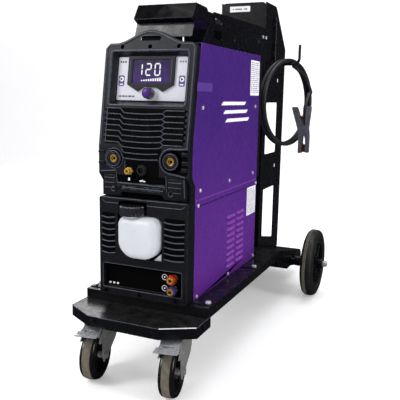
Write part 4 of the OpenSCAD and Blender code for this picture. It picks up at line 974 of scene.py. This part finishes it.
# -------- wheels
CASTER_R, CASTER_W, CASTER_TURN = 62.5, 37, math.radians(10)
CASTER_X, CASTER_Y, CASTER_TRAIL = 106, -18, 40  # kingpin's place, and the axle's distance from it
BUSH_R, BORE_R, BUSH_HW = 8.8, 6.1, 22
AXLE_TURN = Matrix.Rotation(math.pi / 2, 4, "Y")  # lays a lathe's axis across the cart


def both_sides(profile):
    """Closed profile from one that runs from a wheel's tread to its hub on the upper side."""
    return [(r, -h) for r, h in reversed(profile)] + profile


for sign, name in ((-1, "left"), (1, "right")):
    spot = Vector((sign * CASTER_X + CASTER_TRAIL * math.sin(CASTER_TURN),
                   CASTER_Y - CASTER_TRAIL * math.cos(CASTER_TURN), FLOOR_Z + CASTER_R))
    turn = Matrix.Translation(spot) @ Matrix.Rotation(CASTER_TURN, 4, "Z") @ AXLE_TURN
    half = CASTER_W / 2
    bm = bmesh.new()
    shoulder = [(CASTER_R - 1.2 - 7 * (1 - math.cos(a)), half - 8 + 8 * math.sin(a)) for a in
                [math.pi / 2 * k / 6 for k in range(7)]]
    rim = shoulder + [(46, half - 0.6), (44, half - 3), (42, 6.5), (20, 6), (11, 8), (9.5, 9)]
    lathe(bm, both_sides(rim), turn, 72, loop=True)
    wheel, slot = "caster_wheel_" + name, "caster_rubber"
    piece("caster_tyre_" + name, bm, wheel_plastic, wheel, slot, replaces=[wheel])
    bm = bmesh.new()
    band = [(CASTER_R - 1.6, half - 8.2), (CASTER_R - 0.5, half - 9.5), (CASTER_R, 4), (CASTER_R, -4),
            (CASTER_R - 0.5, -half + 9.5), (CASTER_R - 1.6, -half + 8.2), (CASTER_R - 5, 0)]
    lathe(bm, band, turn, 72, loop=True)
    piece("caster_tread_" + name, bm, tread_tan, wheel, slot)
    bm = bmesh.new()
    bush = [(BORE_R, -BUSH_HW), (BUSH_R, -BUSH_HW), (BUSH_R, BUSH_HW), (BORE_R, BUSH_HW)]
    lathe(bm, bush, turn, 40, loop=True)
    piece("caster_bush_" + name, bm, zinc, wheel, slot)

REAR_R, REAR_W = work_box("rear_tyre_left")[1].z / 2 - FLOOR_Z / 2, 44
SEAT_R = 80.2  # where the rubber meets the rim
for name in ("left", "right"):
    tyre, slot = "rear_tyre_" + name, "tyre_rubber"
    turn = Matrix.Translation(sum(work_box(tyre), Vector()) / 2) @ AXLE_TURN
    half = REAR_W / 2
    side_line = [(9, 0.8), (14, 2.5), (18.5, 7), (half - 0.8, 14), (half - 0.2, 17), (half - 1.6, 18.5),
                 (half - 0.3, 20), (half - 0.4, 29), (half - 2, 31), (half - 1, 34),
                 (half - 4, REAR_R - SEAT_R)]
    wall = [(REAR_R - depth, h) for h, depth in side_line]
    bm = bmesh.new()
    lathe(bm, both_sides([(REAR_R - 0.3, 4)] + wall), turn, 96, loop=True)
    piece("rear_tyre_rubber_" + name, bm, rubber_black, tyre, slot, replaces=[tyre])
    bm = bmesh.new()
    for h in (-8, -2.5):
        tread = [(REAR_R - 2.2, h - 2.3), (REAR_R - 0.1, h - 2), (REAR_R, h), (REAR_R - 0.1, h + 2),
                 (REAR_R - 2.2, h + 2.3)]
        lathe(bm, tread, turn, 96, loop=True)
    piece("rear_tread_" + name, bm, tread_tan, tyre, slot)

# -------- inside: CAD shapes in their own finishes
INSIDE = {"cooler_base": cart_black, "source_base": cart_black, "pump": cart_black, "cap_seal": rubber_black,
          "cooler_fan": moulding_black, "source_fan": moulding_black, "fan_frames": shade_and_deep_black,
          "radiator": alloy, "heatsink": alloy, "encoder_shaft": steel_bar, "transformer": winding,
          "main_board": board_green}
for node, material in INSIDE.items():
    mesh = frame["nodes"][node].data
    mesh.materials.clear()
    mesh.materials.append(material)

# -------- stage, light and camera
def floor_finish():
    """Pale, faintly glowing floor that reflections see as dark, so that black paint stays black."""
    s = Shader(finish("floor_pale", rgb(246, 246, 248), 0.65, vary=0.01, patch=3, grain=0.00005,
                      grain_scale=400))
    s.paint(Emission_Color=(1, 1, 1, 1), Emission_Strength=0.3)
    dark = s.add("ShaderNodeBsdfDiffuse", Color=(0.03, 0.03, 0.035, 1))
    choose = s.add("ShaderNodeMixShader")
    ray = s.add("ShaderNodeLightPath").outputs["Is Glossy Ray"]
    for socket, value in zip(choose.inputs, (ray, s.surface.outputs[0], dark.outputs[0])):
        s.feed(socket, value)
    s.feed(s.tree.nodes["Material Output"].inputs["Surface"], choose.outputs[0])
    return s.owner


def stage_floor():
    """Pale floor that curves up into a backdrop behind the object."""
    depth, reach, height, bend = 4.0, 6.0, 5.0, 1.5
    profile = [(-reach, 0)] + [(depth - bend + bend * math.sin(a), bend - bend * math.cos(a))
                               for a in [math.pi / 2 * k / 16 for k in range(17)]] + [(depth, height)]
    bm = bmesh.new()
    rows = [[bm.verts.new((x, y, z)) for x in (-12, 12)] for y, z in profile]
    for a, b in zip(rows, rows[1:]):
        bm.faces.new((a[0], a[1], b[1], b[0]))
    mesh = bpy.data.meshes.new("floor")
    bm.to_mesh(mesh)
    bm.free()
    mesh.materials.append(floor_finish())
    mesh.shade_smooth()
    floor = bpy.data.objects.new("floor", mesh)
    bpy.context.scene.collection.objects.link(floor)


def softbox(name, place, target, width, height, power, colour=(1, 1, 1)):
    """Rectangular area light at place, facing target."""
    data = bpy.data.lights.new(name, "AREA")
    data.shape, data.size, data.size_y, data.energy, data.color = "RECTANGLE", width, height, power, colour
    lamp = bpy.data.objects.new(name, data)
    lamp.location = place
    lamp.rotation_euler = (Vector(target) - Vector(place)).to_track_quat("-Z", "Y").to_euler()
    bpy.context.scene.collection.objects.link(lamp)


stage_floor()
softbox("key_light", (-1.8, -2.2, 2.4), (0, -0.3, 0.5), 1.0, 1.4, 55)
softbox("side_light", (3.0, -0.9, 1.8), (0, 0.0, 0.5), 0.8, 2.0, 40)
softbox("top_light", (0.2, 0.3, 3.2), (0, 0, 0.5), 2.0, 2.0, 40)
softbox("rim_light", (-2.4, 2.2, 2.2), (0, 0, 0.6), 1.4, 1.8, 30)


def studio_world():
    """White to the camera, mid grey as a light, and darker to the right in reflections."""
    s = Shader(bpy.data.worlds.new("studio"), "Background")
    ray = s.add("ShaderNodeLightPath").outputs
    across = s.add("ShaderNodeSeparateXYZ", Vector=s.coordinates["Generated"]).outputs["X"]
    reflected = s.blend(ray["Is Glossy Ray"], 0.5, s.spread(across, -0.3, 0.3, 0.5, 0.03))
    s.paint(Strength=s.blend(ray["Is Camera Ray"], reflected, 1.0), Color=(1, 1, 1, 1))
    return s.owner


bpy.context.scene.world = studio_world()
bpy.context.scene.view_settings.view_transform = "Standard"

# Camera: where it stands in working millimetres, and which way it looks
CAMERA_AT = WORK @ Vector((679.5, -1215.1, 720.1))
AZIMUTH, DIP, ROLL = math.radians(23.52), math.radians(9.94), math.radians(1.06)
lens = bpy.data.cameras.new("camera")
lens.lens, lens.sensor_width = 52.95, 36
lens.clip_start, lens.clip_end = 0.05, 50
camera = bpy.data.objects.new("camera", lens)
sight = Vector((-math.sin(AZIMUTH) * math.cos(DIP), math.cos(AZIMUTH) * math.cos(DIP), -math.sin(DIP)))
camera.matrix_world = (Matrix.Translation(CAMERA_AT) @ sight.to_track_quat("-Z", "Y").to_matrix().to_4x4()
                       @ Matrix.Rotation(ROLL, 4, "Z"))
bpy.context.scene.collection.objects.link(camera)
bpy.context.scene.camera = camera
